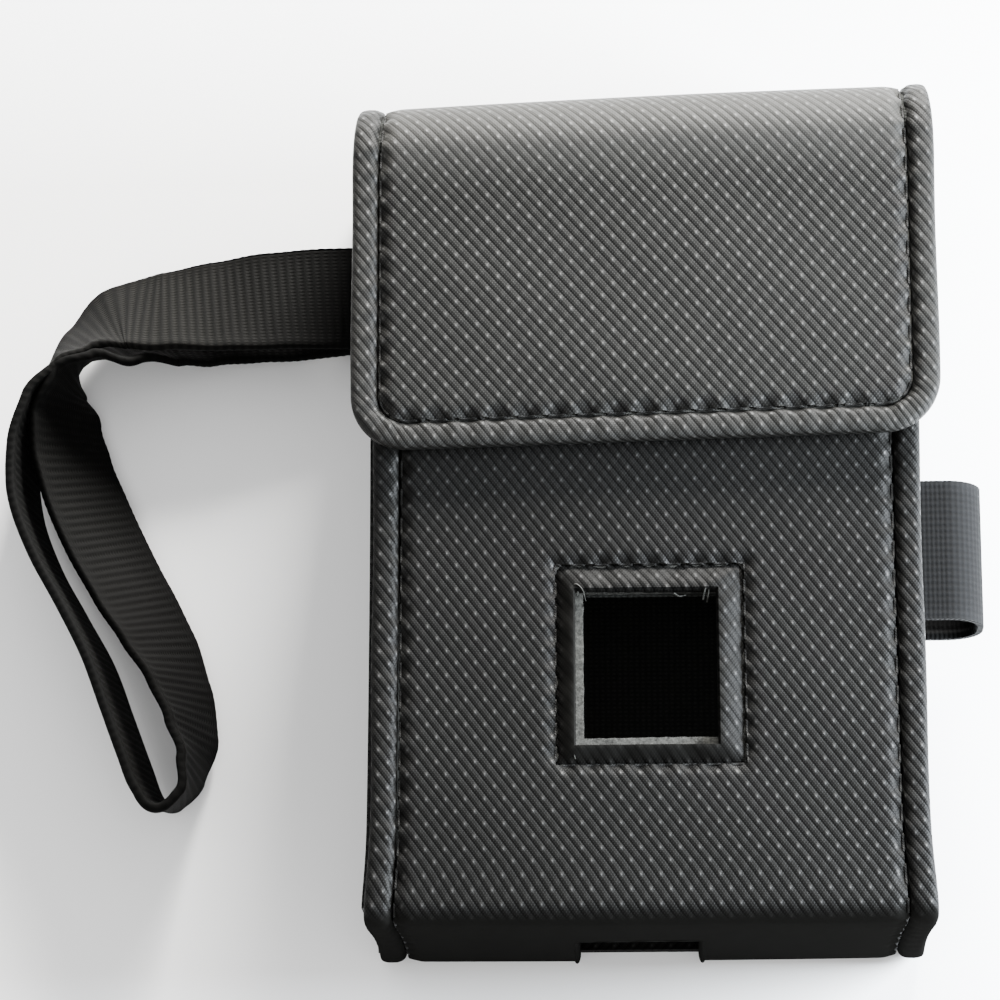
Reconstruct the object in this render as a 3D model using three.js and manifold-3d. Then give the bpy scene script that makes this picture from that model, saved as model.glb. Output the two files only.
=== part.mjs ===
// Soft carrying case for a pocket instrument: a boxed body of covered board, lined inside, with a
// window in its front, a flap that folds over its open end in two hinged lengths, an elastic pen
// loop, and a wrist strap whose webbing loop lies beside it.
//
// Frame, in mm: the case lies on its back. +Z is out of its front, +Y is towards the flap's end and
// +X is towards the pen loop. The origin is the middle of the back panel's outer face.
import * as THREE from "three";
import Module from "manifold-3d";
import { mergeVertices } from "three/addons/utils/BufferGeometryUtils.js";

const wasm = await Module();
wasm.setup();

// ---------------------------------------------------------------- driving dimensions

// The closed body.
const case_width = 74;
const case_length = 115;
const case_depth = 33;

// One wall, from outside to inside: cover, board and lining with a film of glue between them.
const cover_thickness = 0.8;
const board_thickness = 1.0;
const lining_thickness = 0.5;
const glue_film = 0.1;

// Rolled edges along the seams, and the sewn groove beside each.
const roll_width = 3.5;
const roll_radius = 1.2;
const groove_width = 0.8;
const thread_width = 0.44;
const seam_gap = 0.2;

// Flap.
const flap_overhang = 2.5;
const flap_reach = 51.2;
const flap_clearance = 1.2;
const flap_corner_radius = 7.5;
const front_fold_radius = 9;
const back_fold_radius = 5;
const fold_thickness = 1.3;
const mouth_clearance = 0.5;
const front_edge_drop = 5;

// Window in the front panel, as its clear hole, and the sewn border round it.
const window_width = 17.8;
const window_height = 19.9;
const window_from_bottom = 33.8;
const window_offset_x = 0.3;
const board_lip = 1.1;
const window_border = 2.9;
const border_rise = 0.3;

// Slot in the bottom end, open at the back edge.
const slot_left = -10;
const slot_right = 6.7;
const slot_depth = 16;
const notch_depth = 1.5;

// Hook-and-loop closure under the flap.
const patch_width = 42;
const patch_height = 14;
const patch_from_lip = 7;
const loop_patch_thickness = 0.5;
const hook_patch_thickness = 0.4;

// Elastic pen loop on the right side.
const pen_loop_length = 19.4;
const pen_loop_reach = 7.4;
const pen_loop_height = 9.5;
const pen_loop_thickness = 1.2;
const pen_loop_from_bottom = 52;

// Wrist strap: flat webbing, and where its two ends are sewn into the left side.
const strap_width = 15;
const strap_thickness = 1.3;
const strap_from_end = 20.9;
const strap_ply_pitch = 1.5;
const anchor_stand_off = 1.0;
const anchor_clearance = 0.3;
const slit_margin = 0.5;

// Middle line of the strap from its upper sewn end, round the loop and back to its lower one: x
// from the body's left side, y from the middle of the sewn ends and z from the surface that the
// case lies on, in mm, and the roll of the webbing in degrees. At 0 it lies flat and at 90 it
// stands on its edge. The first and the last stop are set from the anchor.
const strap_stops = [
  [-8.0, -0.2, 7.5, 2],
  [-15.5, -0.8, 8.5, 9],
  [-23.0, -1.6, 8.9, 17],
  [-30.5, -2.3, 9.1, 27],
  [-37.0, -3.0, 8.4, 38],
  [-42.2, -6.2, 8.2, 58],
  [-46.2, -10.3, 8.1, 74],
  [-48.8, -16.2, 8.1, 91],
  [-50.0, -23.1, 8.1, 97],
  [-49.5, -30.6, 8.1, 99],
  [-46.7, -38.3, 8.1, 99],
  [-42.8, -45.5, 8.1, 99],
  [-39.0, -52.7, 8.1, 100],
  [-36.2, -60.1, 8.1, 100],
  [-33.6, -67.1, 8.1, 100],
  [-31.8, -71.6, 8.1, 100],
  [-29.9, -73.6, 8.1, 103],
  [-27.5, -72.4, 8.1, 97],
  [-25.9, -68.2, 8.0, 84],
  [-25.9, -62.5, 7.8, 69],
  [-27.8, -55.9, 7.5, 61],
  [-30.9, -49.3, 7.1, 53],
  [-34.6, -42.8, 6.8, 48],
  [-38.2, -36.1, 6.6, 46],
  [-41.2, -29.5, 6.6, 46],
  [-43.4, -23.3, 6.8, 49],
  [-44.4, -17.5, 7.2, 57],
  [-44.1, -12.6, 7.9, 80],
  [-41.8, -9.2, 7.9, 107],
  [-37.2, -7.1, 6.6, 128],
  [-31.6, -4.4, 4.3, 147],
  [-25.6, -2.3, 2.9, 162],
  [-19.0, -0.9, 2.0, 170],
  [-12.0, -0.2, 2.0, 177],
  [-6.5, 0.0, 3.4, 180],
];
const strap_steps = 72;

// ---------------------------------------------------------------- places worked out from them

const wall = cover_thickness + glue_film + board_thickness + glue_film + lining_thickness;
const side_x = case_width / 2;
const bottom_y = -case_length / 2;
const end_y = case_length / 2;
const front_z = case_depth;

const panel_x = side_x - roll_width - groove_width;
const mouth_y = end_y - wall - mouth_clearance;
const front_edge_y = mouth_y - front_edge_drop;
const back_edge_y = end_y - back_fold_radius - seam_gap;
const roll_start_y = bottom_y + roll_width + seam_gap;
const gusset_low_z = roll_width + seam_gap;
const gusset_high_z = case_depth - roll_width - seam_gap;

const flap_x = side_x + flap_overhang;
const flap_under_z = case_depth + flap_clearance;
const flap_outer_z = flap_under_z + wall;
const lip_y = end_y - flap_reach;
const fold_start_y = end_y - front_fold_radius;
const end_low_z = back_fold_radius;
const end_high_z = flap_outer_z - front_fold_radius;
const flap_panel_x = flap_x - roll_width - groove_width;

const strap_root_y = end_y - strap_from_end;
const strap_stack_half = strap_ply_pitch / 2 + strap_thickness / 2;
const slit_half_height = strap_stack_half + anchor_clearance;
const strap_root_z = gusset_low_z + slit_margin + slit_half_height;

const window_y = bottom_y + window_from_bottom;
const window_low_y = window_y - window_height / 2;
const window_high_y = window_y + window_height / 2;
const window_left_x = window_offset_x - window_width / 2;
const window_right_x = window_offset_x + window_width / 2;

// How deep each layer of a wall starts and ends, measured from its outer face.
const layers = {
  cover: [0, cover_thickness],
  board: [cover_thickness + glue_film, cover_thickness + glue_film + board_thickness],
  lining: [wall - lining_thickness, wall],
};

// ---------------------------------------------------------------- materials

const finish = (color, roughness, metalness = 0) =>
  new THREE.MeshStandardMaterial({ color, roughness, metalness });
const cover_finish = finish(0x3d3c39, 0.55);
const edge_finish = finish(0x45443f, 0.5);
const board_finish = finish(0x9a9a93, 0.9);
const lining_finish = finish(0x17170f, 0.95);
const webbing_finish = finish(0x1b1b17, 0.85);
const elastic_finish = finish(0x4a4c50, 0.85);
const thread_finish = finish(0x6b675e, 0.7);
const patch_finish = finish(0x101010, 0.95);

// ---------------------------------------------------------------- shape tools

const case_group = new THREE.Group();

function add(name, geometry, material) {
  const mesh = new THREE.Mesh(geometry, material);
  mesh.name = name;
  case_group.add(mesh);
  return mesh;
}

// A rectangle as a Shape, its corners rounded where a radius is given.
function rectangle(u0, v0, u1, v1, radius = 0) {
  const shape = new THREE.Shape();
  if (radius === 0) {
    shape.moveTo(u0, v0);
    shape.lineTo(u1, v0);
    shape.lineTo(u1, v1);
    shape.lineTo(u0, v1);
    shape.closePath();
    return shape;
  }
  shape.moveTo(u0 + radius, v0);
  shape.lineTo(u1 - radius, v0);
  shape.absarc(u1 - radius, v0 + radius, radius, -Math.PI / 2, 0);
  shape.lineTo(u1, v1 - radius);
  shape.absarc(u1 - radius, v1 - radius, radius, 0, Math.PI / 2);
  shape.lineTo(u0 + radius, v1);
  shape.absarc(u0 + radius, v1 - radius, radius, Math.PI / 2, Math.PI);
  shape.lineTo(u0, v0 + radius);
  shape.absarc(u0 + radius, v0 + radius, radius, Math.PI, Math.PI * 1.5);
  return shape;
}

function with_hole(shape, hole) {
  shape.holes.push(new THREE.Path(hole.getPoints(1)));
  return shape;
}

// Which way a drawn outline and its thickness lie: the outline's two directions, then depth.
const planes = {
  front: [new THREE.Vector3(1, 0, 0), new THREE.Vector3(0, 1, 0), new THREE.Vector3(0, 0, 1)],
  end: [new THREE.Vector3(1, 0, 0), new THREE.Vector3(0, 0, 1), new THREE.Vector3(0, -1, 0)],
  side: [new THREE.Vector3(0, 1, 0), new THREE.Vector3(0, 0, 1), new THREE.Vector3(1, 0, 0)],
};

// An outline drawn in a plane and given thickness between two places across that plane.
function slab(plane, shape, from, to, curve_segments = 4) {
  const low = plane === "end" ? -to : from;
  const geometry = new THREE.ExtrudeGeometry(shape, {
    depth: to - from,
    bevelEnabled: false,
    steps: 1,
    curveSegments: curve_segments,
  });
  geometry.translate(0, 0, low);
  return geometry.applyMatrix4(new THREE.Matrix4().makeBasis(...planes[plane]));
}

// The three layers of one wall. Each layer's outline and place come from functions of its depth.
function laminate(prefix, plane, outline, place) {
  const finishes = { cover: cover_finish, board: board_finish, lining: lining_finish };
  for (const [layer, [outer, inner]] of Object.entries(layers)) {
    const [from, to] = [place(outer), place(inner)].sort((a, b) => a - b);
    add(`${prefix}_${layer}`, slab(plane, outline(layer), from, to), finishes[layer]);
  }
}

// A closed tube through rings of points, its two ends capped. The sections are convex.
function skin_rings(rings) {
  const sides = rings[0].length;
  const position = rings.flat().flatMap((p) => [p.x, p.y, p.z]);
  const index = [];
  for (let i = 0; i + 1 < rings.length; i++) {
    for (let j = 0; j < sides; j++) {
      const a = i * sides + j;
      const b = i * sides + ((j + 1) % sides);
      index.push(a, b, a + sides, b, b + sides, a + sides);
    }
  }
  const last = (rings.length - 1) * sides;
  for (let j = 1; j + 1 < sides; j++) {
    index.push(0, j + 1, j);
    index.push(last, last + j, last + j + 1);
  }
  const geometry = new THREE.BufferGeometry();
  geometry.setAttribute("position", new THREE.Float32BufferAttribute(position, 3));
  geometry.setIndex(index);
  return geometry;
}

// Solids of manifold-3d, for the cuts.
function to_solid(geometry) {
  const bare = geometry.clone();
  bare.deleteAttribute("normal");
  bare.deleteAttribute("uv");
  const merged = mergeVertices(bare, 1e-4);
  return new wasm.Manifold(
    new wasm.Mesh({
      numProp: 3,
      vertProperties: merged.attributes.position.array,
      triVerts: new Uint32Array(merged.index.array),
    }),
  );
}

function from_solid(solid) {
  const mesh = solid.getMesh();
  const geometry = new THREE.BufferGeometry();
  geometry.setAttribute("position", new THREE.BufferAttribute(mesh.vertProperties, 3));
  geometry.setIndex(new THREE.BufferAttribute(mesh.triVerts, 1));
  return geometry;
}

const cut = (geometry, tool) => from_solid(to_solid(geometry).subtract(to_solid(tool)));

// ---------------------------------------------------------------- body walls

// The front panel: its cover stops at the sewn border, and its board's raw edge shows as a lip
// on the window's left and lower sides.
function build_front_panel() {
  const border = rectangle(
    window_left_x - window_border - board_lip,
    window_low_y - window_border - board_lip,
    window_right_x + window_border + board_lip,
    window_high_y + window_border + board_lip,
  );
  const clear_hole = rectangle(window_left_x, window_low_y, window_right_x, window_high_y);
  laminate(
    "front",
    "front",
    (layer) => {
      const low = layer === "cover" ? bottom_y + cover_thickness + seam_gap : bottom_y + wall;
      const sheet = rectangle(-panel_x, low, panel_x, front_edge_y);
      return with_hole(sheet, layer === "cover" ? border : clear_hole);
    },
    (depth) => front_z - depth,
  );
  const binding = rectangle(
    window_left_x - window_border - board_lip + seam_gap,
    window_low_y - window_border - board_lip + seam_gap,
    window_right_x + window_border + board_lip - seam_gap,
    window_high_y + window_border + board_lip - seam_gap,
  );
  const binding_hole = rectangle(
    window_left_x - board_lip,
    window_low_y - board_lip,
    window_right_x,
    window_high_y,
  );
  add(
    "window_binding",
    slab("front", with_hole(binding, binding_hole), front_z - cover_thickness, front_z + border_rise),
    edge_finish,
  );
}

// The back panel, whose cover and board carry a notch where the bottom slot comes through.
function build_back_panel() {
  laminate(
    "back",
    "front",
    (layer) => {
      const low = layer === "cover" ? bottom_y : bottom_y + wall;
      const notch = layer === "cover" ? notch_depth : 0;
      const sheet = new THREE.Shape();
      sheet.moveTo(-panel_x, low);
      sheet.lineTo(slot_left, low);
      sheet.lineTo(slot_left, low + notch);
      sheet.lineTo(slot_right, low + notch);
      sheet.lineTo(slot_right, low);
      sheet.lineTo(panel_x, low);
      sheet.lineTo(panel_x, back_edge_y);
      sheet.lineTo(-panel_x, back_edge_y);
      sheet.closePath();
      return notch > 0 ? sheet : rectangle(-panel_x, low, panel_x, back_edge_y);
    },
    (depth) => depth,
  );
}

// The bottom end, with a slot from its back edge.
function build_bottom_panel() {
  laminate(
    "bottom",
    "end",
    (layer) => {
      const low = layer === "cover" ? cover_thickness + seam_gap : wall + seam_gap;
      const high = layer === "cover" ? front_z : front_z - wall - seam_gap;
      const sheet = new THREE.Shape();
      sheet.moveTo(-panel_x, low);
      sheet.lineTo(slot_left, low);
      sheet.lineTo(slot_left, slot_depth);
      sheet.lineTo(slot_right, slot_depth);
      sheet.lineTo(slot_right, low);
      sheet.lineTo(panel_x, low);
      sheet.lineTo(panel_x, high);
      sheet.lineTo(-panel_x, high);
      sheet.closePath();
      return sheet;
    },
    (depth) => bottom_y + depth,
  );
}

// The two side gussets. The left one is slit for the strap's sewn ends.
function build_gussets() {
  const slit_half_width = strap_width / 2 + anchor_clearance;
  for (const [side, sign] of [["left", -1], ["right", 1]]) {
    laminate(
      side,
      "side",
      (layer) => {
        const sheet = rectangle(roll_start_y, gusset_low_z, mouth_y, gusset_high_z);
        if (side === "right" || layer === "lining") return sheet;
        const slit = rectangle(
          strap_root_y - slit_half_width,
          strap_root_z - slit_half_height,
          strap_root_y + slit_half_width,
          strap_root_z + slit_half_height,
        );
        return with_hole(sheet, slit);
      },
      (depth) => sign * (side_x - depth),
    );
  }
}

// Rolled edges: four along the body and two up the corners of the bottom end.
function build_rolls() {
  for (const [side, sign] of [["left", -1], ["right", 1]]) {
    const [x0, x1] = [sign * side_x, sign * (side_x - roll_width)].sort((a, b) => a - b);
    for (const [face, z0, top_y] of [
      ["front", front_z - roll_width, front_edge_y],
      ["back", 0, back_edge_y],
    ]) {
      const section = rectangle(x0, z0, x1, z0 + roll_width, roll_radius);
      add(`${face}_${side}_roll`, slab("end", section, roll_start_y, top_y, 3), edge_finish);
    }
    const corner = rectangle(x0, bottom_y, x1, bottom_y + roll_width, roll_radius);
    add(`bottom_${side}_roll`, slab("front", corner, 0, front_z, 3), edge_finish);
  }
}

// ---------------------------------------------------------------- flap

// The flap's end length: it closes the mouth, between the back fold and the front fold.
function build_flap_end() {
  laminate(
    "flap_end",
    "end",
    () => rectangle(-flap_panel_x, end_low_z + seam_gap, flap_panel_x, end_high_z - seam_gap),
    (depth) => end_y - depth,
  );
  for (const [side, sign] of [["left", -1], ["right", 1]]) {
    const [x0, x1] = [sign * flap_x, sign * (flap_x - roll_width)].sort((a, b) => a - b);
    const section = rectangle(x0, end_y - wall, x1, end_y, roll_radius);
    const length = slab("front", section, end_low_z + seam_gap, end_high_z - seam_gap, 3);
    add(`flap_end_${side}_roll`, length, edge_finish);
  }
}

// A quarter-round fold across the full width, about a centre in the y-z plane.
function fold_shell(centre_y, centre_z, radius, start_angle) {
  const inner = radius - fold_thickness;
  const section = new THREE.Shape();
  section.absarc(centre_y, centre_z, radius, start_angle, start_angle + Math.PI / 2);
  section.absarc(centre_y, centre_z, inner, start_angle + Math.PI / 2, start_angle, true);
  section.closePath();
  return slab("side", section, -flap_x, flap_x, 8);
}

function build_folds() {
  const front = fold_shell(fold_start_y, end_high_z, front_fold_radius, 0);
  add("front_fold", front, cover_finish);
  const back = fold_shell(end_y - back_fold_radius, end_low_z, back_fold_radius, -Math.PI / 2);
  add("back_fold", back, cover_finish);
}

// The flap's front length, drawn as an outline that is inset for each layer inside the rolled rim.
function flap_outline(inset) {
  const x = flap_x - inset;
  const low = lip_y + inset;
  const high = fold_start_y - seam_gap;
  const radius = Math.max(flap_corner_radius - inset, 0.5);
  const shape = new THREE.Shape();
  shape.moveTo(x, high);
  shape.lineTo(-x, high);
  shape.lineTo(-x, low + radius);
  shape.absarc(-x + radius, low + radius, radius, Math.PI, Math.PI * 1.5);
  shape.lineTo(x - radius, low);
  shape.absarc(x - radius, low + radius, radius, -Math.PI / 2, 0);
  shape.closePath();
  return shape;
}

// A U-shaped band that follows the flap's sides and lip between two insets.
function flap_band(outer_inset, inner_inset, from, to) {
  const band = slab("front", flap_outline(outer_inset), from, to, 8);
  const core = slab("front", flap_outline(inner_inset), from - 1, to + 1, 8);
  const past_fold = slab(
    "front",
    rectangle(inner_inset - flap_x, lip_y + flap_corner_radius, flap_x - inner_inset, end_y),
    from - 1,
    to + 1,
  );
  return cut(cut(band, core), past_fold);
}

function build_flap_front() {
  laminate(
    "flap_front",
    "front",
    () => flap_outline(roll_width + groove_width),
    (depth) => flap_outer_z - depth,
  );
  add("flap_front_roll", flap_band(0, roll_width, flap_under_z, flap_outer_z), edge_finish);
}

// ---------------------------------------------------------------- sewing

// One thread line lies in each groove between a panel and its rolled edge.
function build_threads() {
  const line_in = roll_width + groove_width / 2 - thread_width / 2;
  const line_out = line_in + thread_width;
  const low = front_z - cover_thickness;
  for (const [side, sign] of [["left", -1], ["right", 1]]) {
    const [x0, x1] = [sign * (side_x - line_in), sign * (side_x - line_out)].sort((a, b) => a - b);
    const front = rectangle(x0, roll_start_y, x1, front_edge_y);
    add(`thread_front_${side}`, slab("front", front, low, low + thread_width), thread_finish);
    const back = rectangle(x0, roll_start_y, x1, back_edge_y);
    const back_high = cover_thickness;
    add(`thread_back_${side}`, slab("front", back, back_high - thread_width, back_high), thread_finish);
  }
  const flap_low = flap_outer_z - cover_thickness;
  add("thread_flap", flap_band(line_in, line_out, flap_low, flap_low + thread_width), thread_finish);

  const reach = window_border + board_lip - seam_gap - thread_width;
  const ring = (outset) =>
    rectangle(
      window_left_x - outset,
      window_low_y - outset,
      window_right_x + outset,
      window_high_y + outset,
    );
  const lift = front_z + border_rise + glue_film;
  const thread = with_hole(ring(reach), ring(reach - thread_width));
  add("thread_window", slab("front", thread, lift, lift + thread_width), thread_finish);
}

// ---------------------------------------------------------------- closure, pen loop and strap

function build_closure() {
  const low = lip_y + patch_from_lip;
  const patch = () => rectangle(-patch_width / 2, low, patch_width / 2, low + patch_height, 2);
  const loop_low = front_z + glue_film;
  add("loop_patch", slab("front", patch(), loop_low, loop_low + loop_patch_thickness), patch_finish);
  const hook_high = flap_under_z - glue_film;
  add("hook_patch", slab("front", patch(), hook_high - hook_patch_thickness, hook_high), patch_finish);
}

// The elastic loop is a flat band bent round a pen, with both ends against the right gusset.
function build_pen_loop() {
  const root_x = side_x + seam_gap;
  const tip_x = side_x + pen_loop_reach;
  const mid_z = case_depth / 2;
  const bow = (inset) => {
    const half = pen_loop_height / 2 - inset;
    const tip = tip_x - inset;
    const corner = half * 0.8;
    const points = [[root_x, mid_z + half]];
    for (let i = 0; i <= 6; i++) {
      const angle = Math.PI / 2 - (Math.PI / 2) * (i / 6);
      points.push([
        tip - corner + corner * Math.cos(angle),
        mid_z + half - corner + corner * Math.sin(angle),
      ]);
    }
    const mirrored = points.map(([x, z]) => [x, 2 * mid_z - z]).reverse();
    return [...points, ...mirrored];
  };
  const outline = [...bow(0), ...bow(pen_loop_thickness).reverse()];
  const section = new THREE.Shape(outline.map(([x, z]) => new THREE.Vector2(x, z)));
  const low = bottom_y + pen_loop_from_bottom - pen_loop_length / 2;
  add("pen_loop", slab("end", section, low, low + pen_loop_length), elastic_finish);
}

// The strap's two ends leave the body through one sewn stub.
function build_strap() {
  const stub_out = side_x + anchor_stand_off;
  const stub_in = side_x - layers.board[1];
  const stub = rectangle(
    strap_root_y - strap_width / 2,
    strap_root_z - strap_stack_half,
    strap_root_y + strap_width / 2,
    strap_root_z + strap_stack_half,
  );
  add("strap_anchor", slab("side", stub, -stub_out, -stub_in), webbing_finish);

  const start_x = -(stub_out + anchor_clearance);
  const stops = [
    [start_x, strap_root_y, strap_root_z + strap_ply_pitch / 2, 0],
    ...strap_stops.map(([x, y, z, roll]) => [x - side_x, y + strap_root_y, z, roll]),
    [start_x, strap_root_y, strap_root_z - strap_ply_pitch / 2, 180],
  ];
  const route = new THREE.CatmullRomCurve3(
    stops.map(([x, y, z]) => new THREE.Vector3(x, y, z)),
    false,
    "centripetal",
  );
  const up = new THREE.Vector3(0, 0, 1);
  const half_width = strap_width / 2;
  const half_thick = strap_thickness / 2;
  const chamfer = half_thick * 0.6;
  const corners = [
    [-half_width, -half_thick + chamfer],
    [-half_width + chamfer, -half_thick],
    [half_width - chamfer, -half_thick],
    [half_width, -half_thick + chamfer],
    [half_width, half_thick - chamfer],
    [half_width - chamfer, half_thick],
    [-half_width + chamfer, half_thick],
    [-half_width, half_thick - chamfer],
  ];
  const rings = [];
  for (let i = 0; i <= strap_steps; i++) {
    const t = i / strap_steps;
    const centre = route.getPoint(t);
    const ahead = i === 0 || i === strap_steps;
    const along = ahead ? new THREE.Vector3(i === 0 ? -1 : 1, 0, 0) : route.getTangent(t);
    const place = t * (stops.length - 1);
    const stop = Math.min(Math.floor(place), stops.length - 2);
    const share = place - stop;
    const eased = share * share * (3 - 2 * share);
    const roll = THREE.MathUtils.degToRad(
      stops[stop][3] + (stops[stop + 1][3] - stops[stop][3]) * eased,
    );
    const left = new THREE.Vector3().crossVectors(up, along).normalize();
    const over = new THREE.Vector3().crossVectors(along, left).normalize();
    const across = left.clone().multiplyScalar(Math.cos(roll)).addScaledVector(over, Math.sin(roll));
    const facing = new THREE.Vector3().crossVectors(along, across);
    rings.push(
      corners.map(([u, v]) =>
        centre.clone().addScaledVector(across, u).addScaledVector(facing, v),
      ),
    );
  }
  add("wrist_strap", skin_rings(rings), webbing_finish);
}

build_front_panel();
build_back_panel();
build_bottom_panel();
build_gussets();
build_rolls();
build_flap_end();
build_folds();
build_flap_front();
build_threads();
build_closure();
build_pen_loop();
build_strap();

export default case_group;
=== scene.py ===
"""Looks of a soft leatherette carrying case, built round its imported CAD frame.

Lengths in this file are millimetres unless a name says otherwise; meshes are written in metres.
The case lies on its back: +Z is out of its front, +Y is towards the flap's end and +X is towards
the pen loop.
"""

import math

import bpy
import numpy as np
from mathutils import Matrix, Vector


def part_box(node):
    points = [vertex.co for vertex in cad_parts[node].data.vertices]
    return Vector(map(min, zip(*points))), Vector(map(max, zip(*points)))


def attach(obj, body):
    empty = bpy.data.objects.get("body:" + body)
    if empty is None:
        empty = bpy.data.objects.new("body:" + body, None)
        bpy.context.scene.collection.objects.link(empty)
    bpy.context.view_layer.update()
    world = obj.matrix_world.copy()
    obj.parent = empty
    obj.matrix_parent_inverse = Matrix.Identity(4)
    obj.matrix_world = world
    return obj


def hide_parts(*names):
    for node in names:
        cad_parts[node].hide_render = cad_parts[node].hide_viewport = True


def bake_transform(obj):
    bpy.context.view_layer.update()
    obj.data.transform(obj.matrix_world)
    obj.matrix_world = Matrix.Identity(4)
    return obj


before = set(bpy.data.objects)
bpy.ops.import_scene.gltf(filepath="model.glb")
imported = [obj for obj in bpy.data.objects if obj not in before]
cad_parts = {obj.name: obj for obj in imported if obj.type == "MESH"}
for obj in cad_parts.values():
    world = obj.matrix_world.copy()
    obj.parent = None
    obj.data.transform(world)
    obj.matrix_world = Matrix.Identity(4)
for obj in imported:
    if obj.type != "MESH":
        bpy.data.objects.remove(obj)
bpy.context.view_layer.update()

MM = 0.001


# ---- places read from the CAD


def reach(node, axis):
    """Lowest and highest place of a CAD node along one axis, in mm."""
    low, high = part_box(node)
    return low[axis] / MM, high[axis] / MM


X, Y, Z = 0, 1, 2
SIDE_X = reach("front_right_roll", X)[1]
BOTTOM_Y = reach("bottom_cover", Y)[0]
FRONT_Z = reach("front_cover", Z)[1]
FRONT_EDGE_Y = reach("front_cover", Y)[1]
BACK_EDGE_Y = reach("back_cover", Y)[1]
END_Y = reach("flap_end_cover", Y)[1]
FLAP_X = reach("front_fold", X)[1]
FLAP_OUTER_Z = reach("flap_front_roll", Z)[1]
LIP_Y = reach("flap_front_roll", Y)[0]
FRONT_FOLD_RADIUS = END_Y - reach("front_fold", Y)[0]
BACK_FOLD_RADIUS = reach("back_fold", Z)[1]
BORDER_LOW_X, BORDER_HIGH_X = reach("window_binding", X)
BORDER_LOW_Y, BORDER_HIGH_Y = reach("window_binding", Y)
# The slot in the bottom, from the back panel forwards and from left to right.
SLOT_DEPTH = 16.0
SLOT_LEFT, SLOT_RIGHT = -10.0, 6.7

# Thicknesses of the layers and of the whole wall, then the seams and edges.
COVER = 0.8
LINING = 0.5
WALL = 2.5
BEAD_WIDTH = 3.6
SEAM_INSET = 3.9
BOARD_LIP = 1.1
# The wear that presses the emboss fully flat.
PRESSED_FLAT = -1.0


# ---- camera

# Eye in mm, angles in degrees and lens in mm for a sensor 36 mm wide.
EYE = (1.432, -189.836, 673.169)
CAMERA_YAW, CAMERA_TILT, CAMERA_ROLL = 1.8026, 16.4355, -0.1266
LENS = 179.73


def make_camera():
    """The camera that the photograph was taken from, as fitted to the case's outline."""
    yaw, tilt, roll = (math.radians(a) for a in (CAMERA_YAW, CAMERA_TILT, CAMERA_ROLL))
    back = np.array(
        [math.sin(yaw), -math.sin(tilt) * math.cos(yaw), math.cos(tilt) * math.cos(yaw)]
    )
    back /= np.linalg.norm(back)
    right = np.cross((0, 1, 0), back)
    right /= np.linalg.norm(right)
    up = np.cross(back, right)
    turned_right = math.cos(roll) * right + math.sin(roll) * up
    turned_up = math.cos(roll) * up - math.sin(roll) * right
    turn = Matrix(np.stack([turned_right, turned_up, back], axis=1).tolist()).to_4x4()
    data = bpy.data.cameras.new("camera")
    data.lens = LENS
    data.sensor_width = 36
    data.clip_start = 0.01
    camera = bpy.data.objects.new("camera", data)
    camera.matrix_world = Matrix.Translation([c * MM for c in EYE]) @ turn
    bpy.context.scene.collection.objects.link(camera)
    bpy.context.scene.camera = camera


make_camera()


# ---- mesh tools


def grid_faces(rows, columns, wrap=False):
    """Quads between points stored row by row. wrap joins the last column to the first."""
    i, j = np.mgrid[0 : rows - 1, 0 : columns if wrap else columns - 1]
    k = (j + 1) % columns
    quads = [i * columns + j, i * columns + k, (i + 1) * columns + k, (i + 1) * columns + j]
    return np.stack(quads, axis=-1).reshape(-1, 4)


def stacked(*coordinates):
    """Arrays that broadcast together, stacked as the coordinates of points."""
    return np.stack(np.broadcast_arrays(*coordinates), axis=-1)


def lengths_along(points):
    """How far along a line each of its points is."""
    steps = np.linalg.norm(np.diff(points, axis=0), axis=1)
    return np.concatenate([[0], np.cumsum(steps)])


def vertex_normals(points, faces):
    a, b, c, d = (points[faces[:, k]] for k in range(4))
    face_normals = np.cross(c - a, d - b)
    normals = np.zeros_like(points)
    for k in range(4):
        np.add.at(normals, faces[:, k], face_normals)
    return normals / np.maximum(np.linalg.norm(normals, axis=1, keepdims=True), 1e-12)


def thicken(points, faces, cloth, thickness):
    """A closed shell whose outer face is the given surface."""
    inner = points - vertex_normals(points, faces) * thickness
    count = len(points)
    edges = np.concatenate([faces[:, [k, (k + 1) % 4]] for k in range(4)])
    keys = edges[:, 0] * count + edges[:, 1]
    opposite = edges[:, 1] * count + edges[:, 0]
    rim = edges[~np.isin(keys, opposite)]
    rim_faces = np.stack([rim[:, 1], rim[:, 0], rim[:, 0] + count, rim[:, 1] + count], axis=1)
    all_faces = np.concatenate([faces, faces[:, ::-1] + count, rim_faces])
    return np.concatenate([points, inner]), all_faces, np.concatenate([cloth, cloth])


def used_only(points, faces, cloth):
    """The same surface without the points that no face uses."""
    kept, flat = np.unique(faces, return_inverse=True)
    return points[kept], flat.reshape(faces.shape), cloth[kept]


def signed_volume(points, faces):
    total = 0.0
    for k in range(1, faces.shape[1] - 1):
        a, b, c = points[faces[:, 0]], points[faces[:, k]], points[faces[:, k + 1]]
        total += np.einsum("ij,ij->i", a, np.cross(b, c)).sum()
    return total / 6


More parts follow.
